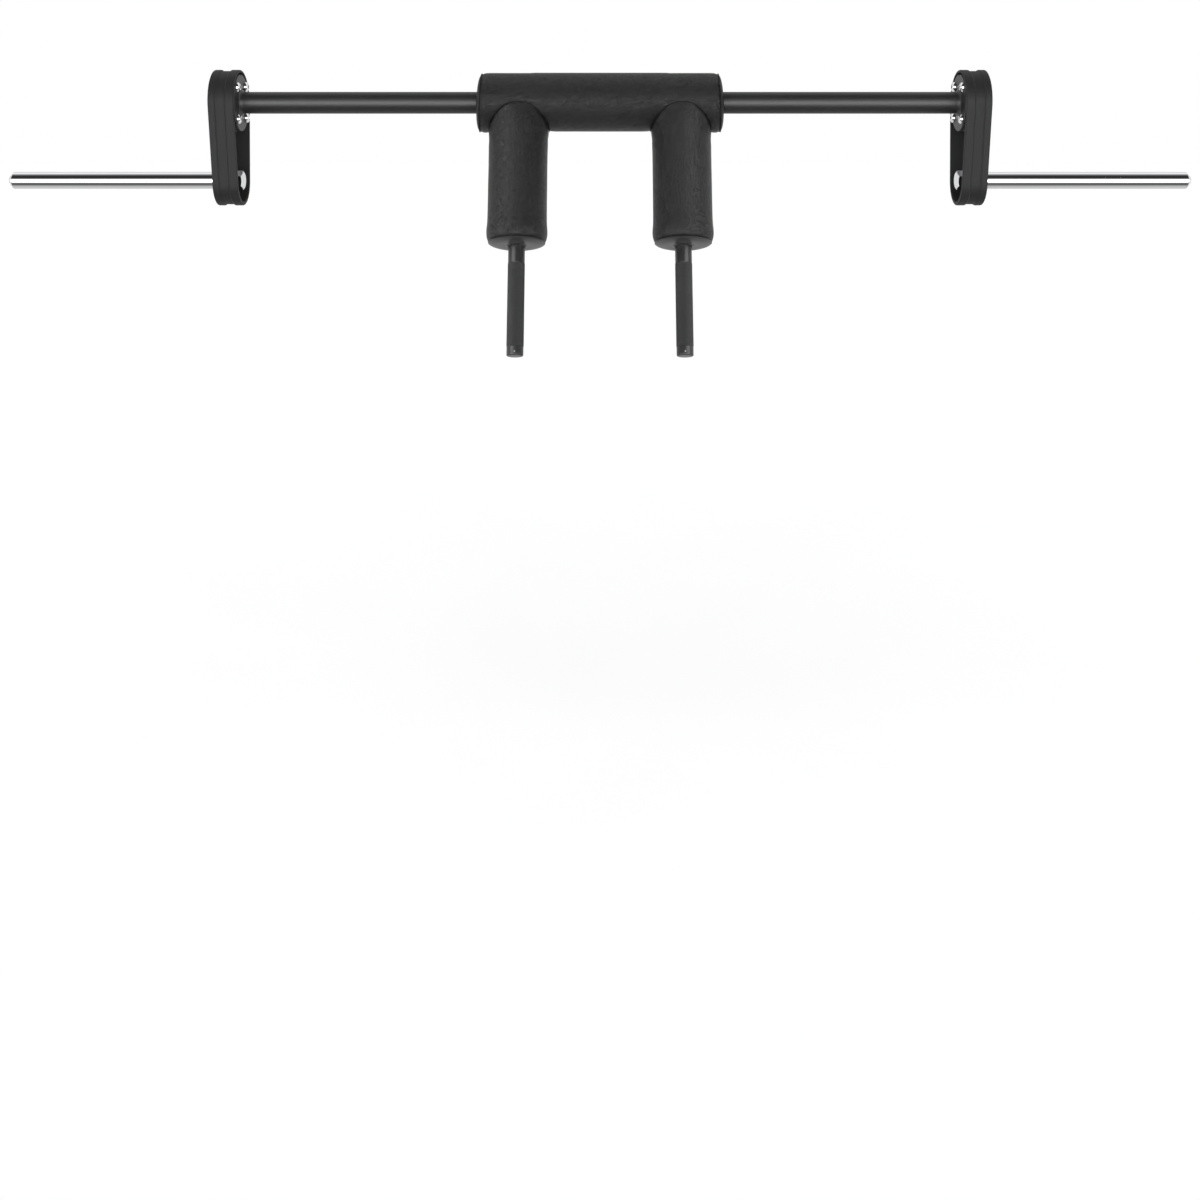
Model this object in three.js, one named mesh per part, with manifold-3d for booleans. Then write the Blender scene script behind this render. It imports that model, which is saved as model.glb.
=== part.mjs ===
// Safety squat bar: a straight shaft with a padded yoke, two handles and an offset link with a turning sleeve at each end.
// All lengths are in millimetres. X runs along the bar, Z is up, and the handles point down and forward, to -Y.
// The origin is the middle of the shaft's axis.
import * as THREE from 'three';
import { mergeVertices } from 'three/addons/utils/BufferGeometryUtils.js';
import Module from 'manifold-3d';

const wasm = await Module();
wasm.setup();

// Fits
const seatGap = 0.3;            // between two pieces that touch
const runningGap = 0.35;        // between the sleeve's turning pieces and what carries them
const cutOverrun = 2;           // how far a cutter passes the face it cuts

// Shaft
const shaftDiameter = 38;
const shaftWall = 4;

// Yoke arms and handles
const armOffset = 141.5;        // from the middle of the bar to each arm's axis
const armTilt = THREE.MathUtils.degToRad(21.8);
const armDiameter = 28.4;
const armWall = 3;
const gripSetback = 36;         // along the arm, from the leg pad's end seam to the knurled band
const gripLength = 142.5;
const gripTail = 16;            // from the knurled band to the handle's end
const gripProud = 0.3;
const gripStep = 1.5;
const plugHead = 4;
const plugSpigot = 16;
const plugEdgeRadius = 2.4;
const pinDiameter = 2.4;
const pinSetback = 2.5;         // from the plug's head to the pin's axis
const pinProud = 0.2;
const pinDepth = 9;

// Neck pad
const neckRadius = 50.8;
const neckOverhang = 66;        // from the arm's axis out to the seam of the end panel
const neckShoulder = 13;
const neckSeamDraw = 3.2;       // how far the cover is drawn in at its end seam
const coverWall = 2.4;
const neckCapBulge = 7;
const capWall = 2.4;

// Leg pads
const legRadius = 50.6;
const legSeam = 253;            // along the arm from the shaft's axis to the end panel
const legFlare = 2.6;           // how far the cover swells where it is sewn to the neck cover
const legRootDraw = 2.2;        // how far it is drawn in above that
const legBead = 1.4;            // the fuller ring above the end seam
const legSeamDraw = 1.2;
const legCapBulge = 3;
const padLip = 2.2;             // thickness of the rolled edge round each opening
const padLipRise = 1.6;

// End link
const linkStart = 626;          // from the middle of the bar to the link's inner rim
const linkWidth = 44;
const linkBottomRadius = 43.9;
const linkDrop = 136;           // from the shaft's axis down to the sleeve's axis
const rimWallTop = 4.5;
const rimWallBottom = 6.6;
const rimCornerRadius = 2;
const innerRibWidth = 15;
const outerRibWidth = 12;
const bandGrooveDepth = 2;
const bandGrooveSlope = 2.4;
const beadHeight = 1.4;
const beadWidth = 2.2;
const plateThickness = 10;
const plateInset = 8;           // from the outer rim in to the plate's outer face

// Flange, spacer and their fasteners
const flangeDiameter = 99;
const flangeThickness = 10;
const flangeChamfer = 1.2;
const flangeRoom = 3.2;         // from the flange's edge out to the band's inner wall
const flangeWeldLeg = 7;
const notchWidth = 5.4;
const notchDepth = 4.6;
const spacerLip = 0.5;          // how far the spacer stands out past the flange
const spacerWeb = 5.35;         // from a bolt's shank in to the spacer's bore
const boltEdge = 11.15;         // from a bolt's axis out to the flange's edge
const boltDiameter = 10;
const boltHeadDiameter = 18;
const boltHeadHeight = 5.6;
const boltSocketWidth = 6;
const boltSocketDepth = 3.2;
const nutWidth = 16;
const nutHeight = 7;

// Sleeve and its bearing
const sleeveDiameter = 30;
const sleeveReach = 367.5;      // from the link's outer rim to the sleeve's outer end
const sleeveNoseDiameter = 12;  // the flat end inside the cone that leads plates onto the sleeve
const sleeveNoseLength = 8;
const collarDiameter = 40;
const collarWidth = 5;
const bushWall = 2.7;
const bushFlangeWidth = 3.2;
const bushFlangeThickness = 2;
const bushSplit = 1.2;          // between the two bushes
const housingWall = 5;
const hexWidth = 30;            // across the flats of the sleeve bolt's head
const hexHeight = 12;
const hexFaceShare = 0.943;     // the round face's diameter, of the width across the flats
const washerDiameter = 37;
const washerThickness = 3;
const sleeveBoltDiameter = 20;
const sleeveBoltReach = 34;

// Facets round a circle
const fine = 36;
const medium = 24;
const small = 12;
const hexFacets = 6;
const cornerSteps = 3;
const topArcSteps = 16;
const bottomArcSteps = 12;
const boltCount = 4;

// Sizes and places that several pieces share
const shaftRadius = shaftDiameter / 2;
const armRadius = armDiameter / 2;
const sleeveRadius = sleeveDiameter / 2;
const flangeRadius = flangeDiameter / 2;
const boltHeadRadius = boltHeadDiameter / 2;
const neckSeam = armOffset + neckOverhang;
const gripStart = legSeam + gripSetback;
const gripEnd = gripStart + gripLength;
const handleEnd = gripEnd + gripTail;
const plugStart = handleEnd - plugHead;
const pinPlace = plugStart - pinSetback;
const linkTopRadius = flangeRadius + flangeRoom + rimWallTop;
const boltCircleRadius = flangeRadius - boltEdge;
const spacerRadius = flangeRadius + spacerLip;
const spacerBoreRadius = boltCircleRadius - boltDiameter / 2 - spacerWeb;

// Places along the link, from the inner rim out
const linkEnd = linkStart + linkWidth;
const flangeBack = linkStart + flangeThickness;
const plateOuter = linkEnd - plateInset;
const plateInner = plateOuter - plateThickness;
const washerInner = linkStart + hexHeight + seatGap;
const washerOuter = washerInner + washerThickness;
const journalEnd = washerOuter + seatGap;
const innerBushStart = journalEnd + seatGap;
const outerBushEnd = plateOuter + seatGap + bushFlangeThickness;
const bushLength = (outerBushEnd - innerBushStart - bushSplit) / 2;
const collarStart = outerBushEnd + runningGap;
const collarEnd = collarStart + collarWidth;
const sleeveTip = linkEnd + sleeveReach;

// Colours as photographed
const finishes = {
  powderCoat: { color: 0x1d1d1e, roughness: 0.55, metalness: 0.3 },
  gripSteel: { color: 0x232324, roughness: 0.6, metalness: 0.4 },
  chrome: { color: 0xd4d6d8, roughness: 0.12, metalness: 1 },
  zinc: { color: 0xb9bcbf, roughness: 0.3, metalness: 1 },
  bronze: { color: 0x9c7440, roughness: 0.4, metalness: 1 },
  moulding: { color: 0x242425, roughness: 0.6, metalness: 0 },
  leatherette: { color: 0x1c1c1d, roughness: 0.62, metalness: 0 },
  panelVinyl: { color: 0x232324, roughness: 0.5, metalness: 0 },
  foam: { color: 0x4a4a4c, roughness: 0.95, metalness: 0 },
};

// Tools: closed solids, cuts and joins

// Six times the volume that a mesh encloses. It is negative where the faces point inwards.
function signedVolume(geometry) {
  const position = geometry.attributes.position;
  const index = geometry.index;
  const corners = [new THREE.Vector3(), new THREE.Vector3(), new THREE.Vector3()];
  let sum = 0;
  for (let i = 0; i < index.count; i += corners.length) {
    corners.forEach((corner, k) => corner.fromBufferAttribute(position, index.getX(i + k)));
    sum += corners[0].dot(corners[1].cross(corners[2]));
  }
  return sum;
}

// A closed solid from a geometry, with its faces turned outwards.
function solid(geometry) {
  const bare = geometry.clone();
  for (const name of Object.keys(bare.attributes)) {
    if (name !== 'position') bare.deleteAttribute(name);
  }
  const merged = mergeVertices(bare);
  const triangles = Uint32Array.from(merged.index.array);
  if (signedVolume(merged) < 0) {
    for (let i = 0; i < triangles.length; i += 3) {
      [triangles[i], triangles[i + 1]] = [triangles[i + 1], triangles[i]];
    }
  }
  const points = Float32Array.from(merged.attributes.position.array);
  return new wasm.Manifold(new wasm.Mesh({ numProp: 3, vertProperties: points, triVerts: triangles }));
}

function cut(body, cutters) {
  return cutters.reduce((left, cutter) => left.subtract(cutter), body);
}

// A mesh with flat faces from a solid.
function named(name, body, finish) {
  const mesh = body.getMesh();
  const geometry = new THREE.BufferGeometry();
  geometry.setAttribute('position', new THREE.BufferAttribute(Float32Array.from(mesh.vertProperties), 3));
  geometry.setIndex(Array.from(mesh.triVerts));
  geometry.computeVertexNormals();
  const piece = new THREE.Mesh(geometry, new THREE.MeshStandardMaterial({ ...finishes[finish], flatShading: true }));
  piece.name = name;
  return piece;
}

// A turned solid about X. The profile is a list of [place along X, radius].
function turnedAlongX(profile, facets) {
  const points = profile.map(([along, radius]) => new THREE.Vector2(radius, along));
  return solid(new THREE.LatheGeometry(points, facets).rotateZ(-Math.PI / 2));
}

// A turned solid about Z that points down. The profile is a list of [distance down, radius].
function turnedDown(profile, facets) {
  const points = profile.map(([down, radius]) => new THREE.Vector2(radius, -down));
  return solid(new THREE.LatheGeometry(points, facets).rotateX(Math.PI / 2));
}

// A tube's closed profile, for a piece with a straight bore.
function tubeProfile(from, to, outer, bore) {
  return closed([[from, bore], [from, outer], [to, outer], [to, bore]]);
}

function closed(profile) {
  return [...profile, profile[0]];
}

// The radius of a facetted bore whose flats stay clear of a round piece by the given gap.
function clearance(radius, gap, facets) {
  return (radius + gap) / Math.cos(Math.PI / facets);
}

// A cutter along X, centred on [y, z].
function drillAlongX(from, to, radius, facets, [y, z] = [0, 0]) {
  const drill = new THREE.CylinderGeometry(radius, radius, to - from, facets).rotateZ(-Math.PI / 2);
  return solid(drill.translate((from + to) / 2, y, z));
}

// A six-sided bar along X, measured across its flats.
function hexAlongX(from, to, acrossFlats) {
  const corner = acrossFlats / 2 / Math.cos(Math.PI / hexFacets);
  return drillAlongX(from, to, corner, hexFacets);
}

// Points on an arc of [along, depth], from one angle to another.
function arc([along, depth], radius, from, to) {
  return Array.from({ length: cornerSteps + 1 }, (_, i) => {
    const angle = from + ((to - from) * i) / cornerSteps;
    return [along - radius * Math.cos(angle), depth - radius * Math.sin(angle)];
  });
}

// The link's outline as [y, z] points: a large arc round the shaft, a small one round the sleeve, joined by tangents.
function linkOutline(topRadius, bottomRadius) {
  const lean = Math.asin((topRadius - bottomRadius) / linkDrop);
  const topHalf = Math.PI / 2 + lean;
  const bottomHalf = Math.PI / 2 - lean;
  const points = [];
  for (let i = 0; i <= topArcSteps; i += 1) {
    const angle = -topHalf + (2 * topHalf * i) / topArcSteps;
    points.push([topRadius * Math.sin(angle), topRadius * Math.cos(angle)]);
  }
  for (let i = 0; i <= bottomArcSteps; i += 1) {
    const angle = -bottomHalf + (2 * bottomHalf * i) / bottomArcSteps;
    points.push([-bottomRadius * Math.sin(angle), -linkDrop - bottomRadius * Math.cos(angle)]);
  }
  return points;
}

// A closed ring that carries a profile round the link's outline. Each profile point has a place along X and the
// radius that the outline has there at its top and at its bottom.
function linkRing(profile) {
  const rings = profile.map(([along, top, bottom]) => linkOutline(top, bottom).map(([y, z]) => [along, y, z]));
  const around = rings[0].length;
  const index = [];
  rings.forEach((_, row) => {
    const nextRow = (row + 1) % rings.length;
    for (let i = 0; i < around; i += 1) {
      const next = (i + 1) % around;
      const [a, b, c, d] = [row * around + i, row * around + next, nextRow * around + next, nextRow * around + i];
      index.push(a, b, c, a, c, d);
    }
  });
  const geometry = new THREE.BufferGeometry();
  geometry.setAttribute('position', new THREE.Float32BufferAttribute(rings.flat(2), 3));
  geometry.setIndex(index);
  return solid(geometry);
}

// The four bolts as [y, z], and the radii of the sleeve's bearing from the journal out
const boltPlaces = Array.from({ length: boltCount }, (_, i) => {
  const angle = (Math.PI / boltCount) * (2 * i + 1);
  return [boltCircleRadius * Math.sin(angle), boltCircleRadius * Math.cos(angle)];
});
const bushBore = clearance(sleeveRadius, runningGap, medium);
const bushOuter = bushBore + bushWall;
const housingBore = clearance(bushOuter, seatGap, medium);
const housingOuter = housingBore + housingWall;

// Shaft
function shaftTube() {
  const half = flangeBack;
  return turnedAlongX(tubeProfile(-half, half, shaftRadius, shaftRadius - shaftWall), fine);
}

// Round flange with its weld, the four bolt holes and the notch that marks twelve o'clock.
function tubeFlange() {
  const bore = clearance(shaftRadius, seatGap, fine);
  const weldRoom = boltCircleRadius - boltHeadRadius - seatGap - bore;
  const weldLeg = Math.min(flangeWeldLeg, weldRoom);
  const weldShares = [[0, 1], [0.25, 0.25], [1, 0.06], [1, 0]];    // inboard and outwards, of the weld's leg
  const weld = weldShares.map(([inboard, out]) => [linkStart - weldLeg * inboard, bore + weldLeg * out]);
  const disc = turnedAlongX(closed([
    [flangeBack, bore],
    [flangeBack, flangeRadius],
    [linkStart + flangeChamfer, flangeRadius],
    [linkStart, flangeRadius - flangeChamfer],
    ...weld,
  ]), fine);
  const corner = new THREE.Shape([
    new THREE.Vector2(-notchWidth / 2, flangeRadius + notchDepth),
    new THREE.Vector2(-notchWidth / 2, flangeRadius),
    new THREE.Vector2(0, flangeRadius - notchDepth),
    new THREE.Vector2(notchWidth / 2, flangeRadius),
    new THREE.Vector2(notchWidth / 2, flangeRadius + notchDepth),
  ]);
  const depth = flangeThickness + 2 * cutOverrun;
  const notch = new THREE.ExtrudeGeometry(corner, { depth, bevelEnabled: false });
  notch.applyMatrix4(outlineToLink).translate(linkStart - cutOverrun, 0, 0);
  return cut(disc, [...boltDrills(linkStart, flangeBack), solid(notch)]);
}

// Turns a drawn outline so that its X becomes Y, its Y becomes Z and its depth runs along X.
const outlineToLink = new THREE.Matrix4().makeBasis(
  new THREE.Vector3(0, 1, 0),
  new THREE.Vector3(0, 0, 1),
  new THREE.Vector3(1, 0, 0),
);

function boltDrills(from, to) {
  const radius = clearance(boltDiameter / 2, seatGap, small);
  return boltPlaces.map((place) => drillAlongX(from - cutOverrun, to + cutOverrun, radius, small, place));
}

function hubSpacer() {
  const [from, to] = [flangeBack + seatGap, plateInner - seatGap];
  const ring = turnedAlongX(tubeProfile(from, to, spacerRadius, spacerBoreRadius), fine);
  return cut(ring, boltDrills(from, to));
}

function linkPlate() {
  const top = linkTopRadius - rimWallTop - seatGap;
  const bottom = linkBottomRadius - rimWallBottom - seatGap;
  const outline = new THREE.Shape(linkOutline(top, bottom).map(([y, z]) => new THREE.Vector2(y, z)));
  const sheet = new THREE.ExtrudeGeometry(outline, { depth: plateThickness, bevelEnabled: false });
  sheet.applyMatrix4(outlineToLink).translate(plateInner, 0, 0);
  const housingHole = clearance(housingOuter, seatGap, medium);
  const drill = drillAlongX(plateInner - cutOverrun, plateOuter + cutOverrun, housingHole, medium, [0, -linkDrop]);
  return cut(solid(sheet), [...boltDrills(plateInner, plateOuter), drill]);
}

// The moulded band: a rib along each rim, a groove between them, and two beads inside that hold the plate's edge.
function edgeBand() {
  const quarter = Math.PI / 2;
  const slope = bandGrooveSlope / 2;
  const outside = [
    ...arc([rimCornerRadius, rimCornerRadius], rimCornerRadius, 0, quarter),
    [innerRibWidth - slope, 0],
    [innerRibWidth + slope, bandGrooveDepth],
    [linkWidth - outerRibWidth - slope, bandGrooveDepth],
    [linkWidth - outerRibWidth + slope, 0],
    ...arc([linkWidth - rimCornerRadius, rimCornerRadius], rimCornerRadius, quarter, 2 * quarter),
  ].map(([along, depth]) => [linkStart + along, linkTopRadius - depth, linkBottomRadius - depth]);
  const outerBead = plateOuter + seatGap;
  const innerBead = plateInner - seatGap;
  const inside = [
    [linkEnd, 0],
    [outerBead + beadWidth, 0],
    [outerBead + beadWidth / 2, beadHeight],
    [outerBead, beadHeight],
    [outerBead, 0],
    [innerBead, 0],
    [innerBead, beadHeight],
    [innerBead - beadWidth / 2, beadHeight],
    [innerBead - beadWidth, 0],
    [linkStart, 0],
  ].map(([along, rise]) => [along, linkTopRadius - rimWallTop - rise, linkBottomRadius - rimWallBottom - rise]);
  return linkRing([...outside, ...inside]);
}

// Button-head bolt with a domed head and a hexagonal socket, centred on the X axis.
function flangeBolt() {
  const face = linkStart - seatGap;
  const top = face - boltHeadHeight;
  const shank = boltDiameter / 2;
  const end = plateOuter + seatGap + nutHeight;
  const crownShares = [[1, 0.32], [0.85, 0.62], [0.45, 0.88]];    // of the head's height and of its radius
  const crown = crownShares.map(([rise, reach]) => [face - boltHeadHeight * rise, boltHeadRadius * reach]);
  const body = turnedAlongX([
    [top, 0],
    ...crown,
    [face, boltHeadRadius],
    [face, shank],
    [end, shank],
    [end, 0],
  ], small);
  return cut(body, [hexAlongX(top - cutOverrun, top + boltSocketDepth, boltSocketWidth)]);
}

function flangeNut() {
  const from = plateOuter + seatGap;
  const bore = clearance(boltDiameter / 2, seatGap, small);
  const drill = drillAlongX(from - cutOverrun, from + nutHeight + cutOverrun, bore, small);
  return cut(hexAlongX(from, from + nutHeight, nutWidth), [drill]);
}

// Sleeve bearing, centred on the X axis
function bearingHousing() {
  const from = innerBushStart + bushFlangeThickness + seatGap;
  return turnedAlongX(tubeProfile(from, plateOuter, housingOuter, housingBore), medium);
}

// A flanged bush. The direction is 1 where the flange is at the inner end and -1 where it is at the outer end.
function flangedBush(flangeEnd, length, direction) {
  const flangeFace = flangeEnd + direction * bushFlangeThickness;
  const tail = flangeEnd + direction * length;
  return turnedAlongX(closed([
    [flangeEnd, bushBore],
    [flangeEnd, bushOuter + bushFlangeWidth],
    [flangeFace, bushOuter + bushFlangeWidth],
    [flangeFace, bushOuter],
    [tail, bushOuter],
    [tail, bushBore],
  ]), medium);
}

// Loading sleeve: journal, stop collar, bar and conical nose, with a threaded hole for the bolt in its inner end.
function loadingSleeve() {
  const bore = clearance(sleeveBoltDiameter / 2, seatGap, medium);
  const boreEnd = washerInner + sleeveBoltReach + seatGap;
  return turnedAlongX([
    [boreEnd, 0],
    [boreEnd, bore],
    [journalEnd, bore],
    [journalEnd, sleeveRadius],
    [collarStart, sleeveRadius],
    [collarStart, collarDiameter / 2],
    [collarEnd, collarDiameter / 2],
    [collarEnd, sleeveRadius],
    [sleeveTip - sleeveNoseLength, sleeveRadius],
    [sleeveTip, sleeveNoseDiameter / 2],
    [sleeveTip, 0],
  ], medium);
}

function sleeveWasher() {
  const bore = clearance(sleeveBoltDiameter / 2, seatGap, medium);
  return turnedAlongX(tubeProfile(washerInner, washerOuter, washerDiameter / 2, bore), medium);
}

// Hex bolt: a six-sided bar trimmed by a cone at its face, and a shank that reaches into the sleeve.
function sleeveBolt() {
  const headEnd = washerInner - seatGap;
  const corner = hexWidth / 2 / Math.cos(Math.PI / hexFacets);
  const faceRadius = (hexWidth / 2) * hexFaceShare;
  const coneDrop = (corner - faceRadius) * Math.tan(Math.PI / hexFacets);
  const cone = turnedAlongX([
    [linkStart, 0],
    [linkStart, faceRadius],
    [linkStart + coneDrop, corner],
    [headEnd, corner],
    [headEnd, 0],
  ], medium);
  const head = hexAlongX(linkStart, headEnd, hexWidth).intersect(cone);
  const shankEnd = washerInner + sleeveBoltReach;
  const shank = turnedAlongX([
    [linkStart + coneDrop, 0],
    [linkStart + coneDrop, sleeveBoltDiameter / 2],
    [shankEnd, sleeveBoltDiameter / 2],
    [shankEnd, 0],
  ], medium);
  return head.add(shank);
}

// Yoke arms and handles, built along the arm's own axis

// The hole for the pin, through the arm's wall into the plug.
function pinDrill() {
  const radius = clearance(pinDiameter / 2, seatGap, small);
  const length = pinDepth + seatGap + cutOverrun;
  const drill = new THREE.CylinderGeometry(radius, radius, length, small);
  return solid(drill.translate(0, -(armRadius + cutOverrun) + length / 2, -pinPlace));
}

// Yoke arm: cut to the shaft's round at its root, with the knurled band of the grip standing slightly proud.
function yokeArm() {
  const bore = armRadius - armWall;
  const grip = armRadius + gripProud;
  const tube = turnedDown(closed([
    [0, bore],
    [0, armRadius],
    [gripStart, armRadius],
    [gripStart + gripStep, grip],
    [gripEnd, grip],
    [gripEnd + gripStep, armRadius],
    [plugStart - seatGap, armRadius],
    [plugStart - seatGap, bore],
  ]), medium);
  const saddle = clearance(shaftRadius, seatGap, fine);
  return cut(tube, [drillAlongX(-armDiameter, armDiameter, saddle, fine), pinDrill()]);
}

function handlePlug() {
  const spigot = armRadius - armWall - seatGap;
  const rounding = arc([0, 0], plugEdgeRadius, Math.PI / 2, Math.PI)
    .map(([along, depth]) => [handleEnd - plugEdgeRadius + along, armRadius - plugEdgeRadius - depth]);
  const body = turnedDown([
    [plugStart - plugSpigot, 0],
    [plugStart - plugSpigot, spigot],
    [plugStart, spigot],
    [plugStart, armRadius],
    ...rounding,
    [handleEnd, 0],
  ], medium);
  return cut(body, [pinDrill()]);
}

function plugPin() {
  const length = pinDepth + pinProud;
  const pin = new THREE.CylinderGeometry(pinDiameter / 2, pinDiameter / 2, length, small);
  return solid(pin.translate(0, -armRadius - pinProud + length / 2, -pinPlace));
}

// Pads. The neck pieces are turned about the shaft, the leg pieces about the arm.

// The arm's passage through the neck pad, placed as the arm is.
function armPassage(side) {
  const radius = clearance(armRadius, seatGap, medium);
  const passage = turnedDown([[0, 0], [0, radius], [2 * neckRadius, radius], [2 * neckRadius, 0]], medium);
  const tilt = THREE.MathUtils.radToDeg(-armTilt);
  return passage.rotate([tilt, 0, 0]).translate([side * armOffset, 0, 0]);
}

const armPassages = [-1, 1].map(armPassage);

function neckFoam() {
  const bore = clearance(shaftRadius, seatGap, fine);
  const outer = neckRadius - neckSeamDraw - coverWall - seatGap;
  const end = neckSeam - seatGap;
  return cut(turnedAlongX(tubeProfile(-end, end, outer, bore), medium), armPassages);
}

// Neck cover: straight between its shoulders and drawn in at the seam of each end panel.
function neckCover() {
  const shoulderShares = [[1, 0], [0.62, 0.08], [0.3, 0.36], [0.1, 0.72], [0, 1]];   // of the shoulder and of the draw
  const right = shoulderShares.map(([back, drawn]) => [
    neckSeam - neckShoulder * back,
    neckRadius - neckSeamDraw * drawn,
  ]);
  const left = right.map(([along, radius]) => [-along, radius]).reverse();
  const inner = neckRadius - neckSeamDraw - coverWall;
  const shell = turnedAlongX(closed([[-neckSeam, inner], ...left, ...right, [neckSeam, inner]]), fine);
  return cut(shell, armPassages);
}

// A sewn end panel: a bulging ring with a rolled lip round its hole, as [place, radius] from its seam.
function panelProfile(seam, outer, bore, bulge) {
  const span = outer - bore;
  const crownShares = [[0, 0], [0.1, 0.45], [0.4, 0.95], [0.75, 1]];    // of the span and of the bulge
  const face = crownShares.map(([inward, rise]) => [seam + capWall + bulge * rise, outer - span * inward]);
  const back = crownShares.slice(1).reverse().map(([inward, rise]) => [seam + bulge * rise, outer - span * inward]);
  const lipTop = seam + capWall + bulge + padLipRise;
  return closed([
    ...face,
    [lipTop, bore + padLip],
    [lipTop, bore],
    [seam + bulge, bore],
    ...back,
    [seam, outer],
  ]);
}

function neckCap() {
  const bore = clearance(shaftRadius, seatGap, medium);
  return turnedAlongX(panelProfile(neckSeam + seatGap, neckRadius - neckSeamDraw, bore, neckCapBulge), medium);
}

// The cylinder that stands for the neck pad where a leg pad is cut to fit it.
function neckSaddle() {
  const radius = clearance(neckRadius, seatGap, fine);
  return drillAlongX(-2 * neckRadius, 2 * neckRadius, radius, fine);
}

function legFoam() {
  const bore = clearance(armRadius, seatGap, medium);
  const outer = legRadius - legRootDraw - coverWall - seatGap;
  return turnedDown(tubeProfile(0, legSeam - seatGap, outer, bore), medium).subtract(neckSaddle());
}

function legCover() {
  const inner = legRadius - legRootDraw - coverWall;
  const end = legSeam;
  // Places along the leg as shares of its length, with the swell there above or below the leg's own radius.
  const outsideShares = [
    [0, -legRootDraw],
    [0.1, -legRootDraw],
    [0.165, legFlare / 2],
    [0.2, legFlare],
    [0.25, legFlare / 2],
    [0.32, 0],
    [0.85, 0],
    [0.93, legBead],
    [0.975, legBead / 2],
    [1, -legSeamDraw],
  ];
  const outside = outsideShares.map(([down, swell]) => [end * down, legRadius + swell]);
  return turnedDown(closed([[0, inner], ...outside, [end, inner]]), fine).subtract(neckSaddle());
}

function legCap() {
  const bore = clearance(armRadius, seatGap, medium);
  return turnedDown(panelProfile(legSeam + seatGap, legRadius - legSeamDraw, bore, legCapBulge), medium);
}

// Assembly

// One end of the bar, built on the +X side and turned about Z for the other.
function endLink(side) {
  const link = new THREE.Group();
  link.add(named(`${side}_tube_flange`, tubeFlange(), 'powderCoat'));
  link.add(named(`${side}_hub_spacer`, hubSpacer(), 'powderCoat'));
  link.add(named(`${side}_link_plate`, linkPlate(), 'chrome'));
  link.add(named(`${side}_edge_band`, edgeBand(), 'moulding'));
  boltPlaces.forEach(([y, z], i) => {
    const bolt = named(`${side}_flange_bolt_${i + 1}`, flangeBolt(), 'chrome');
    const nut = named(`${side}_flange_nut_${i + 1}`, flangeNut(), 'zinc');
    bolt.position.set(0, y, z);
    nut.position.set(0, y, z);
    link.add(bolt, nut);
  });
  const bearing = new THREE.Group();
  bearing.position.z = -linkDrop;
  bearing.add(named(`${side}_bearing_housing`, bearingHousing(), 'zinc'));
  bearing.add(named(`${side}_inner_bush`, flangedBush(innerBushStart, bushLength, 1), 'bronze'));
  bearing.add(named(`${side}_outer_bush`, flangedBush(outerBushEnd, bushLength, -1), 'bronze'));
  bearing.add(named(`${side}_sleeve`, loadingSleeve(), 'chrome'));
  bearing.add(named(`${side}_sleeve_washer`, sleeveWasher(), 'chrome'));
  bearing.add(named(`${side}_sleeve_bolt`, sleeveBolt(), 'chrome'));
  link.add(bearing);
  return link;
}

// One arm with its handle and its leg pad.
function yokeLeg(side) {
  const leg = new THREE.Group();
  leg.add(named(`${side}_yoke_arm`, yokeArm(), 'gripSteel'));
  leg.add(named(`${side}_handle_plug`, handlePlug(), 'gripSteel'));
  leg.add(named(`${side}_plug_pin`, plugPin(), 'zinc'));
  leg.add(named(`${side}_leg_foam`, legFoam(), 'foam'));
  leg.add(named(`${side}_leg_cover`, legCover(), 'leatherette'));
  leg.add(named(`${side}_leg_cap`, legCap(), 'panelVinyl'));
  leg.rotation.x = -armTilt;
  return leg;
}

const bar = new THREE.Group();
bar.add(named('shaft_tube', shaftTube(), 'powderCoat'));
bar.add(named('neck_foam', neckFoam(), 'foam'));
bar.add(named('neck_cover', neckCover(), 'leatherette'));

for (const [side, direction] of [['left', -1], ['right', 1]]) {
  const turn = direction < 0 ? Math.PI : 0;
  const link = endLink(side);
  link.rotation.z = turn;
  const leg = yokeLeg(side);
  leg.position.x = direction * armOffset;
  const cap = named(`${side}_neck_cap`, neckCap(), 'leatherette');
  cap.rotation.z = turn;
  bar.add(link, leg, cap);
}

export default bar;
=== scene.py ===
"""Safety squat bar: a straight shaft with a padded yoke, two knurled handles, and a turning sleeve on an
offset link at each end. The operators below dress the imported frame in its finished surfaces. X runs along the
bar, Z is up, and the handles point down and forward, to -Y. Sizes are in metres."""

import math

import bmesh
import bpy
from bpy.props import FloatProperty, FloatVectorProperty, IntProperty, PointerProperty
from mathutils import Euler, Matrix, Vector, noise


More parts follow.
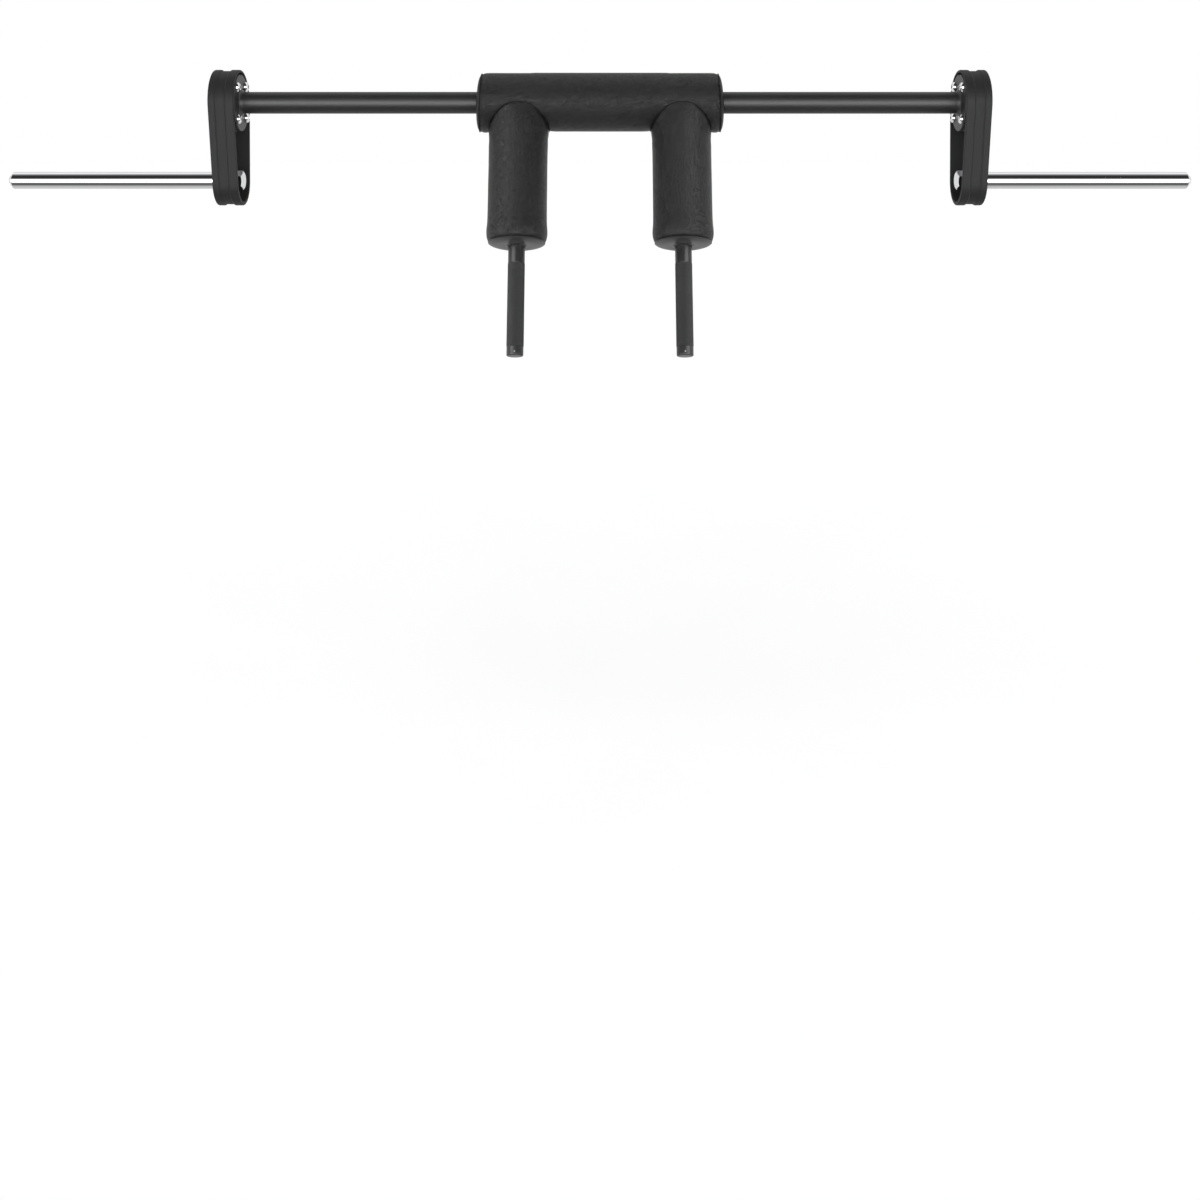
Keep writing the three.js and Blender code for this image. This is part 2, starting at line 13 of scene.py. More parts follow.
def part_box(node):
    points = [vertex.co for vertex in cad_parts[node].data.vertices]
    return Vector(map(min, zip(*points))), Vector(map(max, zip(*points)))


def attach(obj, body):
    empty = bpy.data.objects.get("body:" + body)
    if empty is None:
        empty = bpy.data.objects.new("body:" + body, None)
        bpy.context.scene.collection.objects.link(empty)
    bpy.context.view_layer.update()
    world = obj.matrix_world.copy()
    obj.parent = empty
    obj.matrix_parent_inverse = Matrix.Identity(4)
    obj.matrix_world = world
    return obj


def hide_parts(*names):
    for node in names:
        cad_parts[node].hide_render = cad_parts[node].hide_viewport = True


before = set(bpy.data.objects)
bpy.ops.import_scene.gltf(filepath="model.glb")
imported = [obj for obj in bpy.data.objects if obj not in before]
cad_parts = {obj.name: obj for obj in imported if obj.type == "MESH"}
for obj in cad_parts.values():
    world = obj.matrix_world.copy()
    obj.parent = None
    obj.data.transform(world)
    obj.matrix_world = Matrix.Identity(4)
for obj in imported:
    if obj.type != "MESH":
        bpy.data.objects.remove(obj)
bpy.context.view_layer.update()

bl_info = {
    "name": "Safety Squat Bar",
    "version": (1, 0, 0),
    "blender": (4, 5, 0),
    "location": "3D View > Sidebar > Squat Bar",
    "description": "Dresses the frame of a safety squat bar in its finished surfaces",
    "category": "Object",
}

MM = 0.001
TINY = 1e-6
TURN = 2 * math.pi
SIDES = ("left", "right")
FRAME_BODY = "frame"
HARD_CREASE = math.radians(28)
CHAMFER_SLOPE = math.tan(math.radians(30))

# Points round each kind of piece
SHAFT_POINTS = 96
FLANGE_POINTS = 144
RING_POINTS = 128
FASTENER_POINTS = 48
SMALL_POINTS = 32
COVER_POINTS = 72


def low(node):
    """The lowest corner of a node of the frame."""
    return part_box(node)[0]


def high(node):
    """The highest corner of a node of the frame."""
    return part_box(node)[1]


def middle(node):
    """The middle of a node of the frame."""
    return (low(node) + high(node)) / 2


# Sizes and colours that a user may change


def size(name, description, default):
    return FloatProperty(name=name, description=description, default=default, unit="LENGTH", precision=4)


def share(name, description, default):
    return FloatProperty(name=name, description=description, default=default, subtype="FACTOR", precision=3)


def degrees(name, description, value):
    return FloatProperty(name=name, description=description, default=math.radians(value), subtype="ANGLE")


def colour(name, description, rgb):
    return FloatVectorProperty(
        name=name, description=description, default=rgb, subtype="COLOR", min=0.0, max=1.0
    )


class SquatBarShaft(bpy.types.PropertyGroup):
    """Sizes of the shaft, its flanges and their fasteners"""

    radius: size("Radius", "Outer radius of the shaft", high("shaft_tube").z)
    half_length: size("Half length", "From the middle of the bar to the shaft's end", high("shaft_tube").x)
    wall: size("Wall", "Wall of the shaft tube", 4 * MM)
    flange_radius: size("Flange radius", "Radius of the flange", high("right_tube_flange").y)
    flange_face: size(
        "Flange face", "From the middle of the bar to the flange's inner face", low("right_edge_band").x
    )
    flange_back: size(
        "Flange back", "From the middle of the bar to the flange's outer face", high("right_tube_flange").x
    )
    weld_leg: size("Weld leg", "Leg of the weld between shaft and flange", 7 * MM)
    notch_width: size("Notch width", "Width of the notch at twelve o'clock", 5.4 * MM)
    notch_depth: size("Notch depth", "Depth of the notch at twelve o'clock", 4.6 * MM)
    spacer_radius: size("Spacer radius", "Radius of the ring behind the flange", high("right_hub_spacer").y)
    spacer_bore: size("Spacer bore", "Radius of that ring's bore", 28 * MM)
    bolt_reach: size("Bolt reach", "From the shaft's axis to each flange bolt", 38.35 * MM)
    bolt_radius: size("Bolt radius", "Radius of a flange bolt's shank", 5 * MM)
    head_radius: size("Bolt head radius", "Radius of a flange bolt's domed head", 9 * MM)
    head_height: size("Bolt head height", "Height of a flange bolt's domed head", 5.6 * MM)
    socket_width: size("Bolt socket", "Width across the flats of the bolt's socket", 6 * MM)
    socket_depth: size("Socket depth", "Depth of the bolt's socket", 3.2 * MM)
    nut_width: size("Nut width", "Width across the flats of a flange nut", 16 * MM)
    nut_height: size("Nut height", "Height of a flange nut", 7 * MM)
    edge: size("Edge", "Rounding of the turned steel edges", 0.7 * MM)


class SquatBarLink(bpy.types.PropertyGroup):
    """Sizes of the offset link and its moulded band"""

    inner_face: size(
        "Inner face", "From the middle of the bar to the band's inner rim", low("right_edge_band").x
    )
    outer_face: size(
        "Outer face", "From the middle of the bar to the band's outer rim", high("right_edge_band").x
    )
    top_radius: size("Top radius", "Radius of the band round the shaft", high("right_edge_band").z)
    bottom_radius: size("Bottom radius", "Radius of the band round the sleeve", 43.9 * MM)
    drop: size("Drop", "From the shaft's axis down to the sleeve's axis", -middle("right_sleeve").z)
    wall_top: size("Top wall", "Thickness of the band at its top", 4.5 * MM)
    wall_bottom: size("Bottom wall", "Thickness of the band at its bottom", 6.6 * MM)
    rim_radius: size("Rim rounding", "Rounding of the band's outer edges", 2 * MM)
    lip_radius: size("Lip rounding", "Rounding of the band's inner edges", 0.6 * MM)
    inner_rib: size("Inner rib", "Width of the rib at the inner rim", 15 * MM)
    outer_rib: size("Outer rib", "Width of the rib at the outer rim", 12 * MM)
    groove_depth: size("Groove depth", "Depth of the groove between the ribs", 2 * MM)
    groove_slope: size("Groove slope", "Width of the groove's sloping sides", 2.4 * MM)
    bead_height: size("Bead height", "Height of the beads that hold the plate", 1.4 * MM)
    bead_width: size("Bead width", "Width of those beads", 2.2 * MM)
    plate_inner: size(
        "Plate inner face", "From the middle of the bar to the plate's inner face", low("right_link_plate").x
    )
    plate_outer: size(
        "Plate outer face", "From the middle of the bar to the plate's outer face", high("right_link_plate").x
    )
    seat: size("Seat", "Gap between pieces that touch", 0.3 * MM)


class SquatBarSleeve(bpy.types.PropertyGroup):
    """Sizes of the loading sleeve and its bearing"""

    radius: size("Radius", "Radius of the loading sleeve", 15 * MM)
    tip: size("Tip", "From the middle of the bar to the sleeve's outer end", high("right_sleeve").x)
    nose_radius: size("Nose radius", "Radius of the flat at the sleeve's outer end", 6 * MM)
    nose_length: size("Nose length", "Length of the cone at the sleeve's outer end", 8 * MM)
    journal_end: size(
        "Journal end", "From the middle of the bar to the sleeve's inner end", low("right_sleeve").x
    )
    collar_radius: size("Collar radius", "Radius of the stop collar", high("right_sleeve").y)
    collar_width: size("Collar width", "Width of the stop collar", 5 * MM)
    collar_start: size(
        "Collar start", "From the middle of the bar to the collar", high("right_outer_bush").x + 0.35 * MM
    )
    bolt_bore: size("Bolt bore", "Radius of the threaded hole in the sleeve's inner end", 10.4 * MM)
    bolt_bore_depth: size("Bolt bore depth", "Depth of that hole", 31 * MM)
    hex_width: size("Hex width", "Width across the flats of the sleeve bolt", 30 * MM)
    hex_face: size("Hex face", "Radius of the round face of the sleeve bolt's head", 14.15 * MM)
    shank_radius: size("Shank radius", "Radius of the sleeve bolt's shank", 10 * MM)
    washer_radius: size("Washer radius", "Radius of the sleeve washer", high("right_sleeve_washer").y)
    edge: size("Edge", "Rounding of the turned edges", 0.6 * MM)


class SquatBarHandles(bpy.types.PropertyGroup):
    """Sizes of the yoke arms and their handles, measured along the arm from the shaft's axis"""

    tilt: degrees("Tilt", "Lean of the arms to the front", 21.8)
    offset: size("Offset", "From the middle of the bar to each arm's axis", middle("right_yoke_arm").x)
    radius: size("Radius", "Radius of the arm tube", 14.2 * MM)
    wall: size("Wall", "Wall of the arm tube", 3 * MM)
    grip_radius: size("Grip radius", "Radius over the knurling", 14.5 * MM)
    grip_start: size("Grip start", "Where the knurling starts", 289 * MM)
    grip_end: size("Grip end", "Where the knurling ends", 431.5 * MM)
    groove: size("Knurl depth", "Depth of the knurling's grooves", 0.55 * MM)
    around: IntProperty(name="Knurls around", description="Diamonds round the grip", default=44, min=12)
    rows: IntProperty(name="Knurls along", description="Diamonds along the grip", default=65, min=4)
    flat: share("Knurl flat", "Share of each diamond that is flat on top", 0.25)
    end: size("End", "Where the handle ends", 447.5 * MM)
    plug_head: size("Plug head", "Height of the plug's head", 4 * MM)
    plug_edge: size("Plug edge", "Rounding of the plug's edge", 2.4 * MM)
    plug_seam: size("Plug seam", "Rounding of the joint between tube and plug", 0.25 * MM)
    pin_place: size("Pin place", "Where the pin's axis is", 441 * MM)
    pin_radius: size("Pin radius", "Radius of the pin", 1.2 * MM)
    pin_proud: size("Pin proud", "How far the pin's dome stands out", 0.2 * MM)


class SquatBarPads(bpy.types.PropertyGroup):
    """Sizes of the neck pad and the leg pads"""

    neck_radius: size("Neck radius", "Radius of the neck pad", 50.8 * MM)
    neck_seam: size("Neck seam", "From the middle of the bar to the end panel's seam", 207.5 * MM)
    shoulder: size("Shoulder", "Length of the neck pad's rounded shoulder", 9 * MM)
    seam_draw: size("Seam draw", "How far the neck cover is drawn in at its seam", 2.2 * MM)
    panel_bulge: size("Panel bulge", "How far the neck's end panels bulge", 5.8 * MM)
    lip: size("Lip", "Radius of the rolled edge round each opening", 1.4 * MM)
    piping: size("Piping", "Radius of the piping in the neck's end seams", 1 * MM)
    seam_skew: size(
        "Seam skew", "How far the neck's end seams lean in at the top and out at the bottom", 2.2 * MM
    )
    neck_lift: size("Neck lift", "How much higher than the shaft the neck pad sits", 0.8 * MM)
    belly: size("Belly", "How far the neck pad hangs lower outside the legs", 2.4 * MM)
    leg_radius: size("Leg radius", "Radius of a leg pad", 50.6 * MM)
    leg_seam: size("Leg seam", "Along the arm from the shaft's axis to the leg's end seam", 253 * MM)
    leg_root: size("Leg root", "How far the leg cover is drawn in at its root", 2.2 * MM)
    leg_flare: size("Leg flare", "How far it swells below the saddle seam", 1.6 * MM)
    saddle_side: size(
        "Saddle side", "How much wider the saddle seam is at its sides than at its front", 3 * MM
    )
    saddle_spread: size("Saddle spread", "How much wider it is between front and sides", 4.2 * MM)
    saddle_inner: size(
        "Saddle inner side", "How much wider still it is at the side towards the other leg", 2.6 * MM
    )
    saddle_ease: size("Saddle ease", "Over which length the leg cover eases from that seam", 9 * MM)
    leg_bead: size("Leg bead", "How far it swells above its end seam", 1.4 * MM)
    leg_draw: size("Leg draw", "How far it is drawn in at its end seam", 1.6 * MM)
    leg_bulge: size("Leg panel bulge", "How far the legs' end panels bulge", 5.4 * MM)
    tuck: size("Tuck", "How deep the leg cover's edge is turned in at the saddle seam", 2.4 * MM)
    flap_half: size("Flap half length", "Half the length of the closing flap on the neck pad", 126 * MM)
    flap_rise: size("Flap rise", "How far the closing flap stands proud", 0.9 * MM)
    stitch: size("Stitch", "Length of a stitch", 2 * MM)
    stitch_pitch: size("Stitch pitch", "From one stitch to the next", 3.2 * MM)
    thread: size("Thread", "Radius of the sewing thread", 0.32 * MM)
    # Painted shade: the radius of the thin black tube that darkens the saddle seam's crease
    seam_shade_radius: size("Welt", "Radius of the cloth edge in the saddle seam", 0.7 * MM)
    start_small: size(
        "Start small", "How much smaller than its full size a cover starts before it is inflated", 1.2 * MM
    )
    inflate_most: size(
        "Inflate most", "The most that a point of a cover may move while it is inflated", 1.6 * MM
    )
    pinch: size("Pinch", "How deep the neck cover is drawn in beside the saddle seams", 1.3 * MM)
    puff: size("Puff", "How far the neck cover puffs up round them", 1.2 * MM)
    pucker: size("Pucker", "Depth of the gathers beside the seams", 0.3 * MM)
    pressure: FloatProperty(
        name="Pressure", description="Pressure inside a cover while it is inflated", default=12.0
    )
    ease: share("Ease", "How much larger a cover is cut than its starting shape", 0.028)
    steps: IntProperty(name="Steps", description="Steps of the cloth simulation", default=20, min=2)


class SquatBarColours(bpy.types.PropertyGroup):
    """Colours of the finishes"""

    powder_coat: colour("Powder coat", "Satin black paint of shaft and flanges", (0.008, 0.008, 0.0083))
    grip_steel: colour("Grip steel", "Black coat of the handles", (0.018, 0.018, 0.0183))
    chrome: colour("Chrome", "Polished chrome of sleeves and bolts", (0.80, 0.80, 0.81))
    zinc: colour("Zinc", "Zinc plate of nuts and bearing housings", (0.56, 0.57, 0.58))
    bronze: colour("Bronze", "Bearing bronze of the bushes", (0.42, 0.26, 0.11))
    band: colour("Band", "Black moulding round the links", (0.010, 0.010, 0.0103))
    leatherette: colour("Leatherette", "Grained black cover of the pads", (0.0076, 0.0076, 0.0079))
    vinyl: colour("Vinyl", "Smooth black end panels of the leg pads", (0.026, 0.026, 0.0265))
    thread: colour("Thread", "Sewing thread", (0.2, 0.2, 0.203))
    # Painted shade: the black of the strips that darken the saddle seams
    seam_shade_strip: colour("Seam cloth", "Black cloth backing in the seams", (0.003, 0.003, 0.003))


class SquatBarStudio(bpy.types.PropertyGroup):
    """The camera, the floor and the light"""

    lens: FloatProperty(name="Lens", description="Focal length", default=40.88, subtype="DISTANCE_CAMERA")
    camera_back: size("Camera distance", "From the shaft's axis to the camera", 2390.1 * MM)
    camera_rise: size("Camera height", "Height of the camera above the shaft's axis", 59.7 * MM)
    camera_pitch: degrees("Camera pitch", "How far the camera looks down", 6.76)
    camera_shift: share("Camera shift", "Upward shift of the picture, as a share of its width", -0.3084)
    floor_drop: size("Floor", "From the shaft's axis down to the floor", 1150 * MM)
    floor_side: size("Floor side", "Side of the square floor", 30.0)
    sky: FloatProperty(name="Sky", description="Brightness of the light from all round", default=0.72)
    top_light: FloatProperty(name="Top light", description="Strength of the soft top light", default=0.8)
    side_light: FloatProperty(name="Side light", description="Strength of the soft side lights", default=1.0)
    softness: degrees("Softness", "Apparent size of the top light", 60)


def settings():
    """The property groups of the open scene."""
    return bpy.context.scene.squat_bar


class SquatBarSettings(bpy.types.PropertyGroup):
    """Everything that a user may change"""

    shaft: PointerProperty(type=SquatBarShaft)
    link: PointerProperty(type=SquatBarLink)
    sleeve: PointerProperty(type=SquatBarSleeve)
    handles: PointerProperty(type=SquatBarHandles)
    pads: PointerProperty(type=SquatBarPads)
    colours: PointerProperty(type=SquatBarColours)
    studio: PointerProperty(type=SquatBarStudio)


# Shapes: lists of rings, where a ring is a list of points


def circle(along, radius, count):
    """A ring of points about the X axis. Its place and its radius may be functions of the angle."""
    ring = []
    for i in range(count):
        angle = TURN * i / count
        place = along(angle) if callable(along) else along
        reach = radius(angle) if callable(radius) else radius
        ring.append(Vector((place, reach * math.cos(angle), reach * math.sin(angle))))
    return ring


def turned(profile, count):
    """Rings of a profile of (place, radius) turned about the X axis. A radius of zero makes one point."""
    rings = []
    for place, radius in profile:
        on_axis = not callable(radius) and radius <= TINY
        rings.append([Vector((place, 0, 0))] if on_axis else circle(place, radius, count))
    return rings


def moved(rings, matrix):
    return [[matrix @ point for point in ring] for ring in rings]


def rounded(corners, steps=5):
    """A closed outline with rounded corners. Each corner is (place, radius, rounding)."""
    outline = []
    for i, (place, radius, rounding) in enumerate(corners):
        corner = Vector((place, radius))
        before = Vector(corners[i - 1][:2]) - corner
        after = Vector(corners[(i + 1) % len(corners)][:2]) - corner
        if rounding < TINY:
            outline.append(tuple(corner))
            continue
        before.normalize()
        after.normalize()
        half = before.angle(after) / 2
        centre = corner + (before + after).normalized() * rounding / math.sin(half)
        reach = rounding / math.tan(half)
        start = corner + before * reach - centre
        end = corner + after * reach - centre
        for k in range(steps + 1):
            outline.append(tuple(centre + start.slerp(end, k / steps).normalized() * rounding))
    return outline


def ring_outline(start, end, bore, outer, edge):
    """The outline of a plain ring with rounded outer edges."""
    return rounded([(start, bore, 0), (start, outer, edge), (end, outer, edge), (end, bore, 0)])


def smooth_line(points, steps):
    """A smooth curve through points of any dimension, with some steps between each two."""
    points = [Vector(p) for p in points]
    padded = [2 * points[0] - points[1], *points, 2 * points[-1] - points[-2]]
    line = []
    for a, b, c, d in zip(padded, padded[1:], padded[2:], padded[3:]):
        for k in range(steps):
            t = k / steps
            bend = 2 * a - 5 * b + 4 * c - d
            twist = 3 * b - a - 3 * c + d
            line.append(0.5 * (2 * b + (c - a) * t + bend * t ** 2 + twist * t ** 3))
    return [tuple(p) for p in line] + [tuple(points[-1])]


class Skin:
    """Points and faces that are gathered from rings, and then become one mesh."""

    def __init__(self):
        self.points = []
        self.faces = []

    def add(self, rings, wrap=False, capped=False):
        """Joins each ring to the next with faces. The last ring joins the first if wrap is set."""
        rows = []
        for ring in rings:
            rows.append(range(len(self.points), len(self.points) + len(ring)))
            self.points += ring
        pairs = list(zip(rows, rows[1:])) + ([(rows[-1], rows[0])] if wrap else [])
        for near, far in pairs:
            count = max(len(near), len(far))
            for i in range(count):
                j = (i + 1) % count
                corners = [near[i % len(near)], near[j % len(near)], far[j % len(far)], far[i % len(far)]]
                self.faces.append(list(dict.fromkeys(corners)))
        if capped:
            self.faces += [list(rows[0]), list(rows[-1])]
        return self

    def mesh(self, name):
        mesh = bpy.data.meshes.new(name)
        mesh.from_pydata(self.points, [], self.faces)
        work = bmesh.new()
        work.from_mesh(mesh)
        bmesh.ops.remove_doubles(work, verts=work.verts, dist=TINY)
        bmesh.ops.recalc_face_normals(work, faces=work.faces)
        work.to_mesh(mesh)
        work.free()
        return mesh


def put(name, mesh, material, body=FRAME_BODY, replaces=(), where=None, crease=HARD_CREASE):
    """Makes a piece from a mesh, in its place and finish, to ride on a body in place of some nodes."""
    if where is not None:
        mesh.transform(where)
    mesh.materials.clear()
    mesh.materials.append(material)
    mesh.polygons.foreach_set("use_smooth", [True] * len(mesh.polygons))
    piece = bpy.data.objects.new(name, mesh)
    bpy.context.scene.collection.objects.link(piece)
    if crease:
        mesh.set_sharp_from_angle(angle=crease)
        weighted = piece.modifiers.new("even_shading", "WEIGHTED_NORMAL")
        weighted.keep_sharp = True
    if replaces:
        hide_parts(*replaces)
    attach(piece, body)
    return piece


def carved(mesh, cutters):
    """The mesh with each cutter's volume taken away."""
    holder = bpy.data.objects.new("carved", mesh)
    bpy.context.scene.collection.objects.link(holder)
    tools = []
    for cutter in cutters:
        tool = bpy.data.objects.new("cutter", cutter)
        bpy.context.scene.collection.objects.link(tool)
        change = holder.modifiers.new("cut", "BOOLEAN")
        change.operation = "DIFFERENCE"
        change.solver = "EXACT"
        change.object = tool
        tools.append(tool)
    graph = bpy.context.evaluated_depsgraph_get()
    result = bpy.data.meshes.new_from_object(holder.evaluated_get(graph))
    for extra in [*tools, holder]:
        bpy.data.objects.remove(extra)
    return result


def hexagon(width):
    """The radius of a hexagon at each angle, measured across its flats."""
    sector = TURN / 6
    return lambda angle: width / 2 / math.cos((angle + sector / 2) % sector - sector / 2)


def side_turn(side):
    """The link's pieces are built on the right and turned about Z for the left."""
    return Matrix.Rotation(math.pi if side == "left" else 0, 4, "Z")


def sleeve_place(side):
    return side_turn(side) @ Matrix.Translation((0, 0, -settings().link.drop))


def arm_place(side):
    """Turns a shape built along +X so that it runs down the arm, with its +Y to the back."""
    handles = settings().handles
    reach = handles.offset * (-1 if side == "left" else 1)
    lean = Matrix.Rotation(-handles.tilt, 4, "X") @ Matrix.Rotation(math.pi / 2, 4, "Y")
    return Matrix.Translation((reach, 0, 0)) @ lean


# Shader maths and materials


class Wire:
    """An output of a shader node. Arithmetic on it adds the Math nodes of the expression."""

    def __init__(self, paint, socket):
        self.paint = paint
        self.socket = socket

    def maths(self, operation, *values):
        return self.paint.node("ShaderNodeMath", {"operation": operation}, values)

    def __add__(self, other):
        return self.maths("ADD", self, other)

    def __radd__(self, other):
        return self.maths("ADD", other, self)

    def __sub__(self, other):
        return self.maths("SUBTRACT", self, other)

    def __rsub__(self, other):
        return self.maths("SUBTRACT", other, self)

    def __mul__(self, other):
        return self.maths("MULTIPLY", self, other)

    def __rmul__(self, other):
        return self.maths("MULTIPLY", other, self)

    def __pow__(self, other):
        return self.maths("POWER", self, other)


class Paint:
    """Adds nodes to the node tree of a material or of the world."""

    def __init__(self, tree):
        self.tree = tree
        tree.nodes.clear()

    def node(self, kind, settings=None, inputs=(), output=0):
        """Adds a node: its settings first, then its sockets' values or links. Gives one of its outputs."""
        node = self.tree.nodes.new(kind)
        for name, value in (settings or {}).items():
            if name == "stops":
                self.set_stops(node.color_ramp, value)
            else:
                setattr(node, name, value)
        for key, value in inputs.items() if isinstance(inputs, dict) else enumerate(inputs):
            if isinstance(value, Wire):
                self.tree.links.new(value.socket, node.inputs[key])
            else:
                node.inputs[key].default_value = value
        return Wire(self, node.outputs[output]) if node.outputs else None

    @staticmethod
    def set_stops(ramp, stops):
        while len(ramp.elements) < len(stops):
            ramp.elements.new(1.0)
        for element, (place, value) in zip(ramp.elements, sorted(stops)):
            element.position = place
            element.color = (value, value, value, 1.0)

    def place(self):
        """Where a point is in the object, in metres."""
        return self.node("ShaderNodeTexCoord", output="Object")

    def stretched(self, place, scale):
        return self.node("ShaderNodeMapping", None, {"Vector": place, "Scale": scale})

    def noise(self, place, per_metre, detail=2.0, roughness=0.5):
        inputs = {"Vector": place, "Scale": per_metre, "Detail": detail, "Roughness": roughness}
        return self.node("ShaderNodeTexNoise", None, inputs)

    def ramp(self, value, stops):
        return self.node("ShaderNodeValToRGB", {"stops": stops}, (value,))

    def mix(self, factor, first, second):
        return self.node("ShaderNodeMix", {"data_type": "RGBA"}, {0: factor, 6: first, 7: second}, 2)

    def step(self, value, start, end, first, last):
        """A soft step from a first to a last value, as a value goes from start to end."""
        inputs = {"Value": value, "From Min": start, "From Max": end, "To Min": first, "To Max": last}
        return self.node("ShaderNodeMapRange", {"interpolation_type": "SMOOTHSTEP"}, inputs)

    def bump(self, height, depth):
        return self.node("ShaderNodeBump", None, {"Distance": depth, "Height": height})

    def surface(self, sockets, painted_shade_hollows=None, share=None):
        """The material's surface; with painted_shade_hollows, a second, dark surface of painted shade that
        shows where the share is low.
        """
        shader = self.node("ShaderNodeBsdfPrincipled", None, sockets)
        if painted_shade_hollows:
            painted_shade_surface = self.node("ShaderNodeBsdfPrincipled", None, painted_shade_hollows)
            shader = self.node("ShaderNodeMixShader", None, (share, painted_shade_surface, shader))
        self.node("ShaderNodeOutputMaterial", None, {"Surface": shader})


def opaque(rgb, factor=1.0):
    """A colour with its alpha, lightened or darkened by a factor."""
    return (*(min(1.0, value * factor) for value in rgb), 1.0)


def new_paint(name):
    """A new material and its paint."""
    material = bpy.data.materials.new(name)
    material.use_nodes = True
    return material, Paint(material.node_tree)


def cached(build):
    """Builds a material once, and gives the same one afterwards."""
    made = []

    def get():
        if not made:
            made.append(build())
        return made[0]

    return get


def grained(name, rgb, tones, fine, broad, roughness, depth, constants=None):
    """A finish with a fine grain in its height and gloss, and mostly a broad one in its tone and gloss.
    A grain is (how many per metre, detail, roughness), and the roughness (least, by fine, by broad)."""
    material, paint = new_paint(name)
    place = paint.place()
    grain = paint.noise(place, *fine)
    cloud = paint.noise(place, *broad) if broad else grain
    least, by_grain, by_cloud = roughness
    gloss = least + by_grain * grain
    darkest, lightest = tones
    paint.surface({
        "Base Color": paint.mix(cloud, opaque(rgb, darkest), opaque(rgb, lightest)),
        "Roughness": gloss + by_cloud * cloud if by_cloud else gloss,
        "Normal": paint.bump(grain, depth),
        **(constants or {}),
    })
    return material


@cached
def powder_coat():
    """Satin black paint with the fine orange peel that powder has."""
    rgb = settings().colours.powder_coat
    peel, cloud = (900, 3.0, 0.6), (14, 2.0)
    return grained("powder_coat_finish", rgb, (0.85, 1.3), peel, cloud, (0.36, 0.1, 0.06), 0.05 * MM)


@cached
def grip_steel():
    """Black coat on the steel of the handles' plugs."""
    rgb = settings().colours.grip_steel
    grain, cloud = (1500, 3.0, 0.6), (30, 2.0)
    return grained("grip_steel_finish", rgb, (0.85, 1.25), grain, cloud, (0.26, 0.12, 0), 0.03 * MM)


@cached
def knurled_steel():
    """The same coat on the arms, dull down in the grooves; its colour has painted shade in the knurls' grooves
    and a painted highlight on their tops.
    """
    material, paint = new_paint("knurled_steel_finish")
    rgb = settings().colours.grip_steel
    handles = settings().handles
    place = paint.place()
    across, forward, up = (paint.node("ShaderNodeSeparateXYZ", None, (place,), k) for k in range(3))
    beside = across.maths("ABSOLUTE", across) - handles.offset
    ahead = forward * math.cos(handles.tilt) - up * math.sin(handles.tilt)
    radius = (beside ** 2 + ahead ** 2) ** 0.5
    along = 0 - forward * math.sin(handles.tilt) - up * math.cos(handles.tilt)
    fade = 0.2 * MM
    grip = paint.step(along, handles.grip_start - fade, handles.grip_start, 0, 1)
    grip = grip * paint.step(along, handles.grip_end, handles.grip_end + fade, 1, 0)
    margin = 0.05 * MM
    floor = handles.grip_radius - handles.groove
    crest = paint.step(radius, floor + margin, handles.grip_radius - margin, 0, 1)
    grain = paint.noise(place, 1500, 3.0, 0.6)
    # Painted light: the knurls' colour is darkened in the grooves as painted shade and lightened on the crests
    # as a painted highlight
    knurl = paint.mix(crest, opaque(rgb, 0.05), opaque(rgb, 3.0))
    paint.surface({
        "Base Color": paint.mix(grip, opaque(rgb, 0.8), knurl),
        "Roughness": 0.26 + grip * (0.34 - 0.35 * crest) + 0.12 * grain,
        "Normal": paint.bump(grain, 0.03 * MM),
    })
    return material


@cached
def chrome():
    """Polished chrome with the faint turning lines and haze of a plated bar."""
    material, paint = new_paint("chrome_finish")
    rgb = settings().colours.chrome
    place = paint.place()
    lines = paint.noise(paint.stretched(place, (1, 0.02, 0.02)), 2600, 2.0)
    haze = paint.noise(place, 22, 3.0)
    paint.surface({
        "Base Color": paint.mix(haze, opaque(rgb, 0.96), opaque(rgb, 1.02)),
        "Metallic": 1.0,
        "Roughness": 0.045 + 0.03 * haze,
        "Normal": paint.bump(lines, 0.002 * MM),
    })
    return material


@cached
def satin_plate():
    """Bright plate that was blasted before it was plated, so that it has a soft silver sheen."""
    rgb = settings().colours.zinc
    ground, haze, metal = (1400, 3.0), (30, 3.0), {"Metallic": 0.4}
    return grained("satin_plate_finish", rgb, (0.95, 1.05), ground, haze, (0.4, 0.12, 0), 0.01 * MM, metal)


@cached
def zinc_plate():
    """Zinc on nuts and housings, slightly mottled."""
    rgb = settings().colours.zinc
    mottle, metal = (240, 4.0, 0.6), {"Metallic": 1.0}
    return grained("zinc_plate_finish", rgb, (0.8, 1.1), mottle, None, (0.24, 0.14, 0), 0.01 * MM, metal)


@cached
def bronze():
    """Bearing bronze, turned and slightly oiled."""
    rgb = settings().colours.bronze
    mottle, metal = (400, 4.0, 0.6), {"Metallic": 1.0}
    return grained("bronze_finish", rgb, (0.75, 1.15), mottle, None, (0.28, 0.14, 0), 0.01 * MM, metal)


@cached
def moulded_band():
    """Black moulding with a fine matt grain."""
    rgb = settings().colours.band
    grain, cloud, dull = (1300, 3.0, 0.6), (18, 3.0), {"Specular IOR Level": 0.32}
    return grained("moulded_band_finish", rgb, (0.85, 1.2), grain, cloud, (0.54, 0.1, 0.08), 0.03 * MM, dull)


